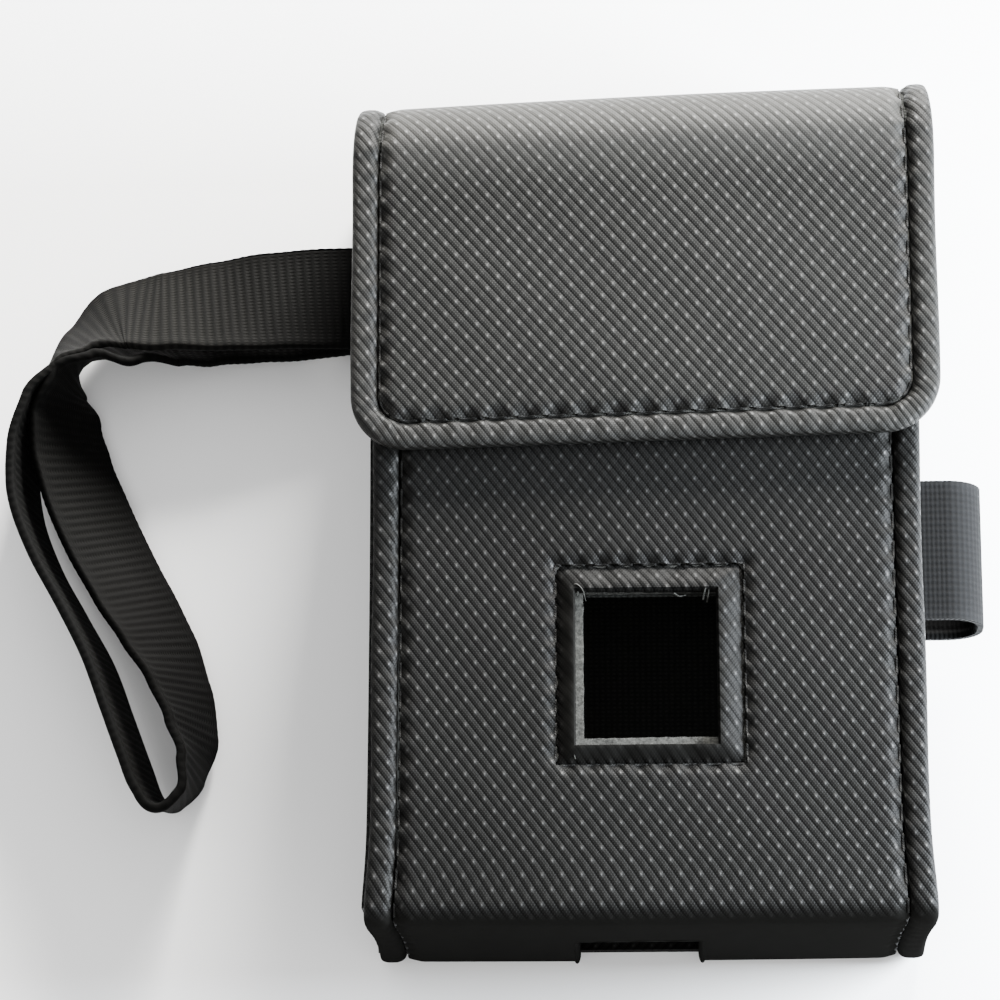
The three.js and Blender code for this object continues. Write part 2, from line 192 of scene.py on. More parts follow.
def add_piece(name, points, faces, cloth, material, caps=()):
    """A mesh object from points in mm. cloth is each point's place on the flat material in mm,
    with a third number for how worn it is, below zero where it is pressed flat. The same number
    also carries painted light and shade on the flap's fold, the window's border and the strap."""
    if signed_volume(points, faces) < 0:
        faces = faces[:, ::-1]
        caps = [cap[::-1] for cap in caps]
    mesh = bpy.data.meshes.new(name)
    mesh.from_pydata(points * MM, [], faces.tolist() + [list(cap) for cap in caps])
    attribute = mesh.attributes.new("cloth", "FLOAT_VECTOR", "POINT")
    attribute.data.foreach_set("vector", np.ascontiguousarray(cloth, np.float32).ravel())
    mesh.materials.append(material)
    mesh.shade_smooth()
    mesh.set_sharp_from_angle(angle=math.radians(48))
    mesh.update()
    piece = bpy.data.objects.new(name, mesh)
    bpy.context.scene.collection.objects.link(piece)
    return piece


def settle(piece, body, replaced=()):
    """Names the body that a piece rides on and the CAD nodes that it shows."""
    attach(piece, body)
    if replaced:
        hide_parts(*replaced)
    return piece


def sheet(name, place, columns, rows, thickness, material, holes=(), cloth=None):
    """A sheet of the given thickness over a grid of u columns and v rows, cut by rectangular
    holes (low u, low v, high u, high v). place turns arrays u and v into points."""
    u, v = np.meshgrid(columns, rows)
    points = place(u, v).reshape(-1, 3)
    flat = stacked(u, v, 0.0) if cloth is None else cloth(u, v)
    flat = flat.reshape(-1, 3)
    faces = grid_faces(*u.shape)
    centre_u = u.reshape(-1)[faces].mean(axis=1)
    centre_v = v.reshape(-1)[faces].mean(axis=1)
    kept = np.ones(len(faces), bool)
    for low_u, low_v, high_u, high_v in holes:
        inside_u = (centre_u > low_u) & (centre_u < high_u)
        kept &= ~(inside_u & (centre_v > low_v) & (centre_v < high_v))
    points, faces, flat = used_only(points, faces[kept], flat)
    return add_piece(name, *thicken(points, faces, flat, thickness), material)


def tube(name, rings, cloth, material):
    """A closed tube through rings of points, its two ends capped."""
    count, sides = rings.shape[:2]
    faces = grid_faces(count, sides, wrap=True)
    last = (count - 1) * sides
    caps = [list(range(sides))[::-1], list(range(last, last + sides))]
    return add_piece(name, rings.reshape(-1, 3), faces, cloth.reshape(-1, 3), material, caps)


def spaced(low, high, step, through=()):
    """Even places from low to high that also pass through the given ones."""
    stops = sorted({low, high, *[t for t in through if low < t < high]})
    runs = [
        np.linspace(a, b, max(2, round((b - a) / step) + 1))[:-1]
        for a, b in zip(stops, stops[1:])
    ]
    return np.concatenate([*runs, [high]])


class Path:
    """A line in a plane with rounded corners, sampled by its length. Its outward side is on the
    left of its direction."""

    def __init__(self, corners, radii, step=0.1):
        corners = [np.array(c, float) for c in corners]
        points = [corners[0]]
        for before, corner, after, radius in zip(corners, corners[1:], corners[2:], radii):
            points.extend(self.arc(before, corner, after, radius, step))
        points.append(corners[-1])
        points = np.array(points)
        self.knots = lengths_along(points)
        self.length = self.knots[-1]
        self.at = np.arange(0, self.length + step / 2, step)
        self.a = np.interp(self.at, self.knots, points[:, 0])
        self.b = np.interp(self.at, self.knots, points[:, 1])
        slope_a, slope_b = np.gradient(self.a), np.gradient(self.b)
        size = np.hypot(slope_a, slope_b)
        self.out_a, self.out_b = -slope_b / size, slope_a / size

    @staticmethod
    def arc(before, corner, after, radius, step):
        """Points of a right-angled corner's arc."""
        into = (corner - before) / np.linalg.norm(corner - before)
        away = (after - corner) / np.linalg.norm(after - corner)
        start = corner - into * radius
        steps = max(4, math.ceil(radius * math.pi / 2 / step))
        angles = np.linspace(0, math.pi / 2, steps)
        return [
            start + into * radius * math.sin(t) + away * radius * (1 - math.cos(t))
            for t in angles
        ]

    def point(self, s, offset=0.0):
        """Both coordinates of the places at length s, moved outwards by offset."""
        a = np.interp(s, self.at, self.a) + offset * np.interp(s, self.at, self.out_a)
        b = np.interp(s, self.at, self.b) + offset * np.interp(s, self.at, self.out_b)
        return a, b

    def outward(self, s):
        return np.interp(s, self.at, self.out_a), np.interp(s, self.at, self.out_b)


def smooth(low, high, value):
    """0 below low, 1 above high and an eased step between them."""
    t = np.clip((value - low) / (high - low), 0, 1)
    return t * t * (3 - 2 * t)


# ---- material tools


class Term:
    """A node socket that adds, multiplies and compares like a number, by making Math nodes."""

    def __init__(self, tree, socket):
        self.tree = tree
        self.socket = socket

    def math(self, operation, *others, clamp=False):
        node = self.tree.nodes.new("ShaderNodeMath")
        node.operation = operation
        node.use_clamp = clamp
        for slot, value in zip(node.inputs, (self, *others)):
            if isinstance(value, Term):
                self.tree.links.new(value.socket, slot)
            else:
                slot.default_value = value
        return Term(self.tree, node.outputs[0])

    def __add__(self, other):
        return self.math("ADD", other)

    def __sub__(self, other):
        return self.math("SUBTRACT", other)

    def __mul__(self, other):
        return self.math("MULTIPLY", other)

    def __truediv__(self, other):
        return self.math("DIVIDE", other)

    def __pow__(self, other):
        return self.math("POWER", other)

    def wave(self, turns=1.0, shift=0.0):
        """From 0 to 1 and back for each whole turn, 1 at whole numbers."""
        return ((self * (2 * math.pi * turns) + shift).math("COSINE") + 1.0) * 0.5

    def clamped(self):
        return self.math("ADD", 0.0, clamp=True)


class Finish:
    """A procedural material whose nodes read the cloth attribute, in mm."""

    def __init__(self, name, **shader_values):
        self.material = bpy.data.materials.new(name)
        self.material.use_nodes = True
        self.tree = self.material.node_tree
        self.shader = self.tree.nodes["Principled BSDF"]
        for socket, value in shader_values.items():
            self.shader.inputs[socket.replace("_", " ")].default_value = value
        attribute = self.tree.nodes.new("ShaderNodeAttribute")
        attribute.attribute_name = "cloth"
        split = self.tree.nodes.new("ShaderNodeSeparateXYZ")
        self.tree.links.new(attribute.outputs["Vector"], split.inputs[0])
        self.cloth = attribute.outputs["Vector"]
        self.u, self.v, self.wear = (Term(self.tree, split.outputs[k]) for k in range(3))

    def noise(self, scale, detail=3.0, roughness=0.55, solid=False):
        """Noise over the cloth, or through the solid for a board whose cut edge shows."""
        node = self.tree.nodes.new("ShaderNodeTexNoise")
        node.inputs["Scale"].default_value = scale
        node.inputs["Detail"].default_value = detail
        node.inputs["Roughness"].default_value = roughness
        if solid:
            place = self.tree.nodes.new("ShaderNodeTexCoord")
            self.tree.links.new(place.outputs["Object"], node.inputs["Vector"])
        else:
            self.tree.links.new(self.cloth, node.inputs["Vector"])
        return Term(self.tree, node.outputs["Fac"])

    def mix(self, share, low, high):
        """A colour between two, by a share. Each may be a colour or an earlier mix."""
        node = self.tree.nodes.new("ShaderNodeMix")
        node.data_type = "RGBA"
        self.tree.links.new(share.socket, node.inputs["Factor"])
        for slot, colour in ((node.inputs[6], low), (node.inputs[7], high)):
            if isinstance(colour, tuple):
                slot.default_value = (*colour, 1.0)
            else:
                self.tree.links.new(colour, slot)
        return node.outputs[2]

    def colour(self, socket):
        self.tree.links.new(socket, self.shader.inputs["Base Color"])

    def rough(self, term):
        self.tree.links.new(term.socket, self.shader.inputs["Roughness"])

    def shine(self, term):
        self.tree.links.new(term.socket, self.shader.inputs["Specular IOR Level"])

    def relief(self, height, strength=1.0):
        """Bump from a height in mm."""
        node = self.tree.nodes.new("ShaderNodeBump")
        node.inputs["Strength"].default_value = strength
        node.inputs["Distance"].default_value = MM
        self.tree.links.new(height.socket, node.inputs["Height"])
        self.tree.links.new(node.outputs["Normal"], self.shader.inputs["Normal"])


# ---- materials

LATTICE_U, LATTICE_V = 2.57, 3.36
FLAP_STRETCH = 2.82 / 2.57


def shade_of(value):
    """A grey of the covers' slightly warm black."""
    return (value, value * 0.985, value * 0.92)


def leatherette(name, tone, contrast):
    """Embossed crosshatch: flat ribs with sharp grooves between, crossed by fainter grooves, a fine
    woven grain, and knots where the ribs cross. tone scales its lightness, contrast its grooves.
    Its colour paints shade into the grooves and glints onto the knots. Where wear is below zero
    the emboss is pressed flat, and above zero it is lighter: worn on the beads' crests, and a
    painted highlight on the flap's fold."""
    finish = Finish(name, IOR=1.45)
    ribs = finish.u / LATTICE_U + finish.v / LATTICE_V
    cross = finish.u / LATTICE_U - finish.v / LATTICE_V
    kept = (finish.wear + 1.0).clamped()
    grooves = (ribs * 2.0).wave(1.0, math.pi) ** 1.6
    weak_grooves = (cross * 2.0).wave(1.0, math.pi) ** 3.0
    cells = ribs.wave() * 0.45 + cross.wave() * 0.35 + 0.2
    knots = (ribs.wave() * cross.wave()) ** 8.0
    small_knots = ((ribs + 0.5).wave() * cross.wave()) ** 5.0
    grain = (ribs * 6.0).wave() * (cross * 6.0).wave()
    level = (grooves * -1.0 + 1.0) * (cells * 0.45 + 0.55) - weak_grooves * 0.12
    height = level * 0.15 + knots * 0.06 + grain * 0.05
    finish.relief(height * kept + finish.noise(2.2) * 0.015, 0.6)
    uneven = finish.noise(0.25)
    # Lighter on the ribs and darker in the grooves: painted light and shade of the emboss.
    lit = level * contrast * 0.42 - 0.06 + grain * (level * 0.75 + 0.35) * contrast + knots * 0.2
    shade = lit * kept + (kept * -1.0 + 1.0) * 0.8 + (uneven - 0.5) * 0.22 + 0.05
    base = finish.mix(shade.clamped(), shade_of(0.0024 * tone), shade_of(0.0185 * tone))
    # Painted glints: bright colour on the knots, of uneven strength.
    glint = (knots + small_knots * 0.5) * (grain * 0.7 + 0.3)
    glint = glint * (finish.noise(1.1) * 1.8 - 0.1) * kept
    with_painted_glints = finish.mix((glint * 0.7).clamped(), base, shade_of(0.040 * tone))
    finish.colour(finish.mix(finish.wear.clamped(), with_painted_glints, shade_of(0.042 * tone)))
    finish.rough(finish.noise(1.3) * 0.2 + 0.42)
    finish.shine((knots * 0.25 + 0.07) * kept * kept)
    return finish.material


def webbing():
    """Ribbed webbing: the ribs are in the mesh, and its threads run along it."""
    finish = Finish("webbing", Roughness=0.8, Specular_IOR_Level=0.05)
    threads = finish.v.wave(1 / 0.52)
    ribs = finish.u.wave(1 / 1.2)
    fuzz = finish.noise(3.0, 4.0, 0.7)
    height = threads * ribs * 0.06 + fuzz * 0.06
    finish.relief(height, 0.8)
    lit = ribs * 0.55 + threads * 0.2 + (fuzz - 0.5) * 0.7
    base_tone = finish.mix(lit.clamped(), (0.0004, 0.0004, 0.0003), (0.0021, 0.0020, 0.0018))
    painted_lit_patch = finish.mix((lit * 1.1).clamped(), (0.0008, 0.0008, 0.0007), (0.0068, 0.0066, 0.0058))
    # Lighter on the patch where the strap turns up towards the light: painted light.
    finish.colour(finish.mix(finish.wear, base_tone, painted_lit_patch))
    return finish.material


def elastic():
    """Grey elastic with fine ribs across it and closer-woven edges."""
    finish = Finish("elastic", Roughness=0.8, Specular_IOR_Level=0.08)
    ribs = finish.u.wave(1 / 0.62)
    rows = finish.v.wave(1 / 0.9)
    fuzz = finish.noise(2.5, 4.0, 0.7)
    finish.relief(ribs * 0.07 + rows * 0.035 + fuzz * 0.05, 0.9)
    lit = ribs * 0.45 + rows * 0.25 + (fuzz - 0.5) * 0.5
    body = finish.mix(lit.clamped(), (0.0002, 0.0002, 0.00023), (0.0038, 0.0040, 0.0044))
    finish.colour(finish.mix(finish.wear.clamped(), body, (0.0048, 0.0050, 0.0054)))
    return finish.material


def sewing_thread():
    """Black thread with a fine twist."""
    finish = Finish("thread", Roughness=0.6, Specular_IOR_Level=0.1)
    twist = (finish.u + finish.v).wave(1 / 0.35)
    finish.relief(twist * 0.03, 0.8)
    finish.colour(finish.mix(twist, (0.0012, 0.0012, 0.0011), (0.009, 0.0088, 0.0082)))
    return finish.material


def board():
    """Grey board, its cut edge fibrous."""
    finish = Finish("board", Roughness=0.9, Specular_IOR_Level=0.1)
    fibres = finish.noise(1500.0, 6.0, 0.75, solid=True)
    blotches = finish.noise(260.0, 2.0, 0.5, solid=True)
    finish.relief(fibres * 0.12, 0.7)
    tone = fibres * 2.4 + blotches * 0.5 - 1.0
    finish.colour(finish.mix(tone.clamped(), (0.005, 0.005, 0.0046), (0.058, 0.058, 0.053)))
    return finish.material


def knit_lining():
    """Black brushed knit."""
    finish = Finish("lining", Roughness=0.95, Specular_IOR_Level=0.05)
    loops = finish.u.wave(1 / 0.8) * finish.v.wave(1 / 0.6)
    pile = finish.noise(2.0, 4.0, 0.7)
    finish.relief(loops * 0.08 + pile * 0.1, 0.8)
    tone = (loops * 0.4 + pile * 0.6).clamped()
    finish.colour(finish.mix(tone, (0.004, 0.0042, 0.004), (0.03, 0.031, 0.029)))
    return finish.material


def patch_pile(name, pitch, depth):
    """One half of the hook-and-loop closure."""
    finish = Finish(name, Roughness=0.9, Specular_IOR_Level=0.08)
    rows = finish.u.wave(1 / pitch) * finish.v.wave(1 / pitch)
    pile = finish.noise(4.0, 4.0, 0.8)
    finish.relief(rows * depth + pile * 0.15, 0.9)
    tone = (rows * 0.4 + pile * 0.6).clamped()
    finish.colour(finish.mix(tone, (0.0015, 0.0015, 0.0015), (0.016, 0.016, 0.016)))
    return finish.material


# Lit and shaded copies of one leatherette: the flap's is painted lighter, the body's darker.
LEATHERETTE = leatherette("leatherette", 0.33, 1.5)
FLAP_LEATHERETTE_PAINTED_LIGHTER = leatherette("flap_leatherette_painted_lighter", 0.84, 1.15)
WEBBING = webbing()
ELASTIC = elastic()
THREAD = sewing_thread()
BOARD = board()
KNIT = knit_lining()
HOOKS = patch_pile("hooks", 1.5, 0.3)
LOOPS = patch_pile("loops", 0.7, 0.1)


# ---- wrist strap

STRAP_WIDTH = 15.0
STRAP_THICKNESS = 1.3
STRAP_ROOT_Y = 36.6
STRAP_RIB_PITCH = 1.2
STRAP_RIB_DEPTH = 0.14
# How far each sewn end runs on into the case's side.
STRAP_INNER_END = 2.6
# The lighter patch near the first bend, where the strap turns up towards the light: painted
# light. Its middle along the strap, and its reach.
LIT_PATCH_MIDDLE, LIT_PATCH_REACH = 34.0, 13.0
# The middle line of the CAD's strap: x, y, z in mm and the webbing's roll in degrees.
STRAP_STOPS = [
    (-38.3, 36.6, 6.65, 0),
    (-45.0, 36.4, 7.5, 2),
    (-52.5, 35.8, 8.5, 9),
    (-60.0, 35.0, 8.9, 17),
    (-67.5, 34.3, 9.1, 27),
    (-74.0, 33.6, 8.4, 38),
    (-79.2, 30.4, 8.2, 58),
    (-83.2, 26.3, 8.1, 74),
    (-85.8, 20.4, 8.1, 91),
    (-87.0, 13.5, 8.1, 97),
    (-86.5, 6.0, 8.1, 99),
    (-83.7, -1.7, 8.1, 99),
    (-79.8, -8.9, 8.1, 99),
    (-76.0, -16.1, 8.1, 100),
    (-73.2, -23.5, 8.1, 100),
    (-70.6, -30.5, 8.1, 100),
    (-68.8, -35.0, 8.1, 100),
    (-66.9, -37.0, 8.1, 103),
    (-64.5, -35.8, 8.1, 97),
    (-62.9, -31.6, 8.0, 84),
    (-62.9, -25.9, 7.8, 69),
    (-64.8, -19.3, 7.5, 61),
    (-67.9, -12.7, 7.1, 53),
    (-71.6, -6.2, 6.8, 48),
    (-75.2, 0.5, 6.6, 46),
    (-78.2, 7.1, 6.6, 46),
    (-80.4, 13.3, 6.8, 49),
    (-81.4, 19.1, 7.2, 57),
    (-81.1, 24.0, 7.9, 80),
    (-78.8, 27.4, 7.9, 107),
    (-74.2, 29.5, 6.6, 128),
    (-68.6, 32.2, 4.3, 147),
    (-62.6, 34.3, 2.9, 162),
    (-56.0, 35.7, 2.0, 170),
    (-49.0, 36.4, 2.0, 177),
    (-43.5, 36.6, 3.4, 180),
    (-38.3, 36.6, 5.15, 180),
]


def centripetal(points, t):
    """Points of the centripetal Catmull-Rom curve through the given ones, at shares t of it."""
    padded = np.concatenate(
        [[2 * points[0] - points[1]], points, [2 * points[-1] - points[-2]]]
    )
    place = np.clip(t, 0, 1) * (len(points) - 1)
    first = np.minimum(place.astype(int), len(points) - 2)
    w = (place - first)[:, None]
    p0, p1, p2, p3 = (padded[first + k] for k in range(4))
    d0, d1, d2 = (
        np.sqrt(np.linalg.norm(q - p, axis=1))[:, None] for p, q in ((p0, p1), (p1, p2), (p2, p3))
    )
    leave = ((p1 - p0) / d0 - (p2 - p0) / (d0 + d1) + (p2 - p1) / d1) * d1
    arrive = ((p2 - p1) / d1 - (p3 - p1) / (d1 + d2) + (p3 - p2) / d2) * d1
    return (
        p1
        + leave * w
        + (3 * (p2 - p1) - 2 * leave - arrive) * w**2
        + (2 * (p1 - p2) + leave + arrive) * w**3
    )


def strap_line(step):
    """The strap's middle line and roll at even lengths, with the length of each place."""
    stops = np.array(STRAP_STOPS, float)
    t = np.linspace(0, 1, 20000)
    line = centripetal(stops[:, :3], t)
    place = t * (len(stops) - 1)
    first = np.minimum(place.astype(int), len(stops) - 2)
    share = place - first
    roll = stops[first, 3] + (stops[first + 1, 3] - stops[first, 3]) * smooth(0, 1, share)
    # Both ends run straight on into the case's side.
    inner = np.array([STRAP_INNER_END, 0, 0])
    line = np.concatenate([[line[0] + inner], line, [line[-1] + inner]])
    roll = np.concatenate([[roll[0]], roll, [roll[-1]]])
    lengths = lengths_along(line)
    at = np.linspace(0, lengths[-1], round(lengths[-1] / step) + 1)
    even = np.stack([np.interp(at, lengths, line[:, k]) for k in range(3)], axis=1)
    return at, even, np.radians(np.interp(at, lengths, roll))


def webbing_section():
    """Across and facing coordinates round the webbing's section. The left edge's points run from
    top to bottom, as the right edge's do, so the section crosses itself once at that edge."""
    half, thick = STRAP_WIDTH / 2, STRAP_THICKNESS / 2
    across = np.linspace(-half + 0.5, half - 0.5, 19)
    top = stacked(across, thick)
    shoulder = half - 0.15
    right = np.array(
        [[shoulder, thick * 0.8], [half, thick * 0.3], [half, -thick * 0.3], [shoulder, -thick * 0.8]]
    )
    return np.concatenate([top, right, top[::-1] * (1, -1), right * (-1, 1)])


def strap_rings(at, line, roll, section):
    """The webbing's rings, with ribs across it, plain thicker selvages and slightly wavy edges."""
    along = np.gradient(line, axis=0)
    along /= np.linalg.norm(along, axis=1, keepdims=True)
    left = np.cross((0.0, 0.0, 1.0), along)
    left /= np.linalg.norm(left, axis=1, keepdims=True)
    over = np.cross(along, left)
    across = left * np.cos(roll)[:, None] + over * np.sin(roll)[:, None]
    facing = np.cross(along, across)
    u, v = section[:, 0][None, :], section[:, 1][None, :]
    rib = 0.5 - 0.5 * np.cos(2 * math.pi * at / STRAP_RIB_PITCH)[:, None]
    selvage = smooth(5.9, 6.7, np.abs(u))
    thin = STRAP_RIB_DEPTH * rib * (1 - selvage) - 0.05 * selvage
    v = v - np.sign(v) * thin * smooth(0.0, 0.4, np.abs(v))
    wander = 0.12 * np.sin(at / 7.3) + 0.08 * np.sin(at / 2.9 + 1.0)
    u = u + np.sign(u) * smooth(5.0, 7.4, np.abs(u)) * (wander[:, None] * 0.6 - 0.06 * rib)
    sideways = across[:, None, :] * u[:, :, None]
    return line[:, None, :] + sideways + facing[:, None, :] * v[:, :, None]


def make_strap():
    """One closed loop of webbing, whose two ends are sewn into the left side."""
    at, line, roll = strap_line(0.15)
    section = webbing_section()
    rings = strap_rings(at, line, roll, section)
    # Painted light: a lighter patch where the strap turns up towards the light.
    painted_lit_patch = np.exp(-(((at - LIT_PATCH_MIDDLE) / LIT_PATCH_REACH) ** 2))[:, None]
    cloth = stacked(at[:, None] + 0.5 * STRAP_RIB_PITCH, section[:, 0][None, :], painted_lit_patch)
    strap = tube("wrist_strap_webbing", rings, cloth, WEBBING)
    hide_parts("wrist_strap", "strap_anchor")
    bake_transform(strap)


make_strap()


# ---- sewing

STITCH_PITCH = 4.0
THREAD_RADIUS = 0.2
THREAD_LIFT = 0.12


class Seam:
    """A sewn line over a flat pattern: places along it, and how its thread pulls the cover down."""

    def __init__(self, points, depth=0.8, width=0.75, pitch=STITCH_PITCH):
        points = np.array(points, float)
        lengths = lengths_along(points)
        self.count = max(1, round(lengths[-1] / pitch))
        self.pitch = lengths[-1] / self.count
        self.at = np.linspace(0, lengths[-1], max(2, round(lengths[-1] / 0.25)))
        self.points = stacked(*(np.interp(self.at, lengths, points[:, k]) for k in range(2)))
        self.depth = depth
        self.width = width

    def nearest(self, u, v):
        """Distance from each place to the line, and how far along the line that is."""
        flat = np.stack([np.ravel(u), np.ravel(v)], axis=1)
        gaps, along = np.empty(len(flat)), np.empty(len(flat))
        for start in range(0, len(flat), 4000):
            part = flat[start : start + 4000]
            distance = np.linalg.norm(part[:, None, :] - self.points[None], axis=2)
            gaps[start : start + 4000] = distance.min(axis=1)
            along[start : start + 4000] = self.at[distance.argmin(axis=1)]
        return gaps.reshape(np.shape(u)), along.reshape(np.shape(u))

    def pull(self, u, v):
        """How far the cover is pulled in at each place: a groove, with a scallop at each stitch."""
        gap, along = self.nearest(u, v)
        return self.pull_at(gap, along)

    def pull_at(self, gap, along):
        """The pull at places whose distance from the line and length along it are known."""
        stitch = (0.5 - 0.5 * np.cos(2 * math.pi * along / self.pitch)) ** 0.8
        groove = 0.3 * np.exp(-((gap / (0.7 * self.width)) ** 2))
        scallop = stitch * np.exp(-((gap / (1.3 * self.width)) ** 2))
        return self.depth * (groove + scallop)

    def centres(self):
        """Length along the seam of each stitch's middle."""
        return (np.arange(self.count) + 0.5) * self.pitch


def thread_rings(place, seam):
    """One short tube for each stitch: it rises out of its first hole, lies in the groove and goes
    down its second hole. Returns each stitch's rings and their places on the thread."""
    share = np.linspace(-1, 1, 11)
    turns = np.linspace(0, 2 * math.pi, 7)[:-1]
    off, rise = THREAD_RADIUS * np.cos(turns), THREAD_RADIUS * np.sin(turns)
    reach_along = 0.36 * seam.pitch
    dive = 0.9 * np.abs(share) ** 6
    stitches = []
    for centre in seam.centres():
        at = centre + share * reach_along
        u = np.interp(at, seam.at, seam.points[:, 0])
        v = np.interp(at, seam.at, seam.points[:, 1])
        bed = THREAD_LIFT - seam.pull_at(np.zeros_like(at), at) - dive
        ahead_u, ahead_v = np.gradient(u), np.gradient(v)
        size = np.hypot(ahead_u, ahead_v) + 1e-9
        side_u, side_v = -ahead_v / size, ahead_u / size
        rings = place(
            u[:, None] + side_u[:, None] * off, v[:, None] + side_v[:, None] * off, bed[:, None] + rise
        )
        stitches.append((rings, stacked(at[:, None], turns * THREAD_RADIUS, 0.0)))
    return stitches


def sew(name, parts, material=THREAD):
    """One object from the rings and cloth places of many short tubes."""
    points, faces, cloth = [], [], []
    total = 0
    for rings, flat in parts:
        count, sides = rings.shape[:2]
        points.append(rings.reshape(-1, 3))
        cloth.append(flat.reshape(-1, 3))
        quads = grid_faces(count, sides, wrap=True) + total
        if signed_volume(rings.reshape(-1, 3), quads - total) < 0:
            quads = quads[:, ::-1]
        faces.append(quads)
        total += count * sides
    joined = (np.concatenate(arrays) for arrays in (points, faces, cloth))
    return add_piece(name, *joined, material)


# ---- body: one cover round three sides

CORNER_RADIUS = 2.4
MOUTH_ROLL = 1.64
FRONT_TOP_Y = FRONT_EDGE_Y + 0.8
BODY_PATH = Path(
    [
        (BACK_EDGE_Y, 0),
        (BOTTOM_Y, 0),
        (BOTTOM_Y, FRONT_Z),
        (FRONT_TOP_Y, FRONT_Z),
        (FRONT_TOP_Y, FRONT_Z - 2 * MOUTH_ROLL - 0.02),
        (FRONT_TOP_Y - 6, FRONT_Z - 2 * MOUTH_ROLL - 0.02),
    ],
    [CORNER_RADIUS, CORNER_RADIUS, MOUTH_ROLL, MOUTH_ROLL],
)
# Lengths along the path at which the back, bottom and front meet.
CORNER_SAVING = (2 - math.pi / 2) * CORNER_RADIUS
BACK_LENGTH = BACK_EDGE_Y - BOTTOM_Y - CORNER_SAVING / 2
FRONT_START = BACK_LENGTH + FRONT_Z - CORNER_SAVING
SEAM_X = SIDE_X - SEAM_INSET


def front_s(y):
    """Length along the body's path of a place y on its front."""
    return FRONT_START + (y - BOTTOM_Y) - CORNER_SAVING / 2


def flare(y, z):
    """How far the body's sides stand out at a place: in at the middle, out at the bottom."""
    middle = -0.35 * np.cos(math.pi * np.clip(y, BOTTOM_Y, END_Y) / (END_Y - BOTTOM_Y))
    corner = 0.55 * np.exp(-(((y - BOTTOM_Y) / 7.0) ** 2)) * smooth(6, 30, z)
    return middle + corner


def body_point(x, s, d):
    """A place on the body's cover: x across, s along its path and d out of it."""
    y, z = BODY_PATH.point(s)
    out_y, out_z = BODY_PATH.outward(s)
    sag = 0.9 * np.exp(-(((z - FRONT_Z + 3) / 9.0) ** 2)) * smooth(-50, BOTTOM_Y + 1, y)
    y = y - sag + out_y * d
    z = z + out_z * d
    wide = x * (1 + flare(y, z) / SIDE_X)
    return stacked(wide, y, z)


BODY_SEAMS = [
    Seam([(sign * SEAM_X, 0.5), (sign * SEAM_X, front_s(FRONT_EDGE_Y))]) for sign in (-1, 1)
]
WINDOW_LOW_S, WINDOW_HIGH_S = front_s(BORDER_LOW_Y), front_s(BORDER_HIGH_Y)


def rectangle_line(low_u, low_v, high_u, high_v):
    """A rectangle's corners in order, ending where they start."""
    return [(low_u, low_v), (high_u, low_v), (high_u, high_v), (low_u, high_v), (low_u, low_v)]


WINDOW_SEAM = Seam(
    rectangle_line(BORDER_LOW_X, WINDOW_LOW_S, BORDER_HIGH_X, WINDOW_HIGH_S),
    depth=0.62,
    width=0.7,
    pitch=3.2,
)


def body_swell(x, s):
    """How far the soft cover stands out between its seams."""
    crown = 0.3 * (1 - (x / SEAM_X) ** 2)
    ripple = 0.07 * np.sin(x / 5.1 + s / 9.0) * np.sin(s / 7.3 + 0.6)
    pulled = sum(seam.pull(x, s) for seam in BODY_SEAMS)
    return crown * 0.5 + ripple - pulled


def body_surface(x, s):
    """A place on the body's sewn cover."""
    return body_point(x, s, body_swell(x, s) - WINDOW_SEAM.pull(x, s))


def pressed_flat(s):
    """From 0 to 1 where the cover goes under the bottom, which is pressed smooth."""
    past_back = smooth(BACK_LENGTH - 2, BACK_LENGTH + 1, s)
    return past_back * smooth(FRONT_START + 1.2, FRONT_START - 0.8, s)


def make_body_cover():
    """The leatherette from the back's top edge, under the bottom and up the front, turned in over
    the mouth. It is cut out for the window and for the slot in the bottom."""
    slot_low = BACK_LENGTH - 1.0
    slot_high = BACK_LENGTH + SLOT_DEPTH - CORNER_SAVING / 2
    columns = spaced(-SEAM_X, SEAM_X, 0.55, (BORDER_LOW_X, BORDER_HIGH_X, SLOT_LEFT, SLOT_RIGHT))
    rows = spaced(0, BODY_PATH.length, 0.5, (slot_low, slot_high, WINDOW_LOW_S, WINDOW_HIGH_S))
    window = (BORDER_LOW_X, WINDOW_LOW_S, BORDER_HIGH_X, WINDOW_HIGH_S)
    holes = [window, (SLOT_LEFT, slot_low, SLOT_RIGHT, slot_high)]

    def cloth(x, s):
        return stacked(x, s, -pressed_flat(s))

    cover = sheet("body_cover", body_surface, columns, rows, COVER, LEATHERETTE, holes, cloth)
    settle(cover, "root", ("front_cover", "bottom_cover", "back_cover"))


def bead_section(sides=30):
    """Across and over coordinates, from -1 to 1, of a rounded square: from its inner edge over the
    top to its outer edge, and back underneath."""
    angle = np.linspace(0, 2 * math.pi, sides, endpoint=False) + math.pi
    across = np.sign(np.cos(angle)) * np.abs(np.cos(angle)) ** 0.62
    over = np.sign(np.sin(angle)) * np.abs(np.sin(angle)) ** 0.62
    return across, -over


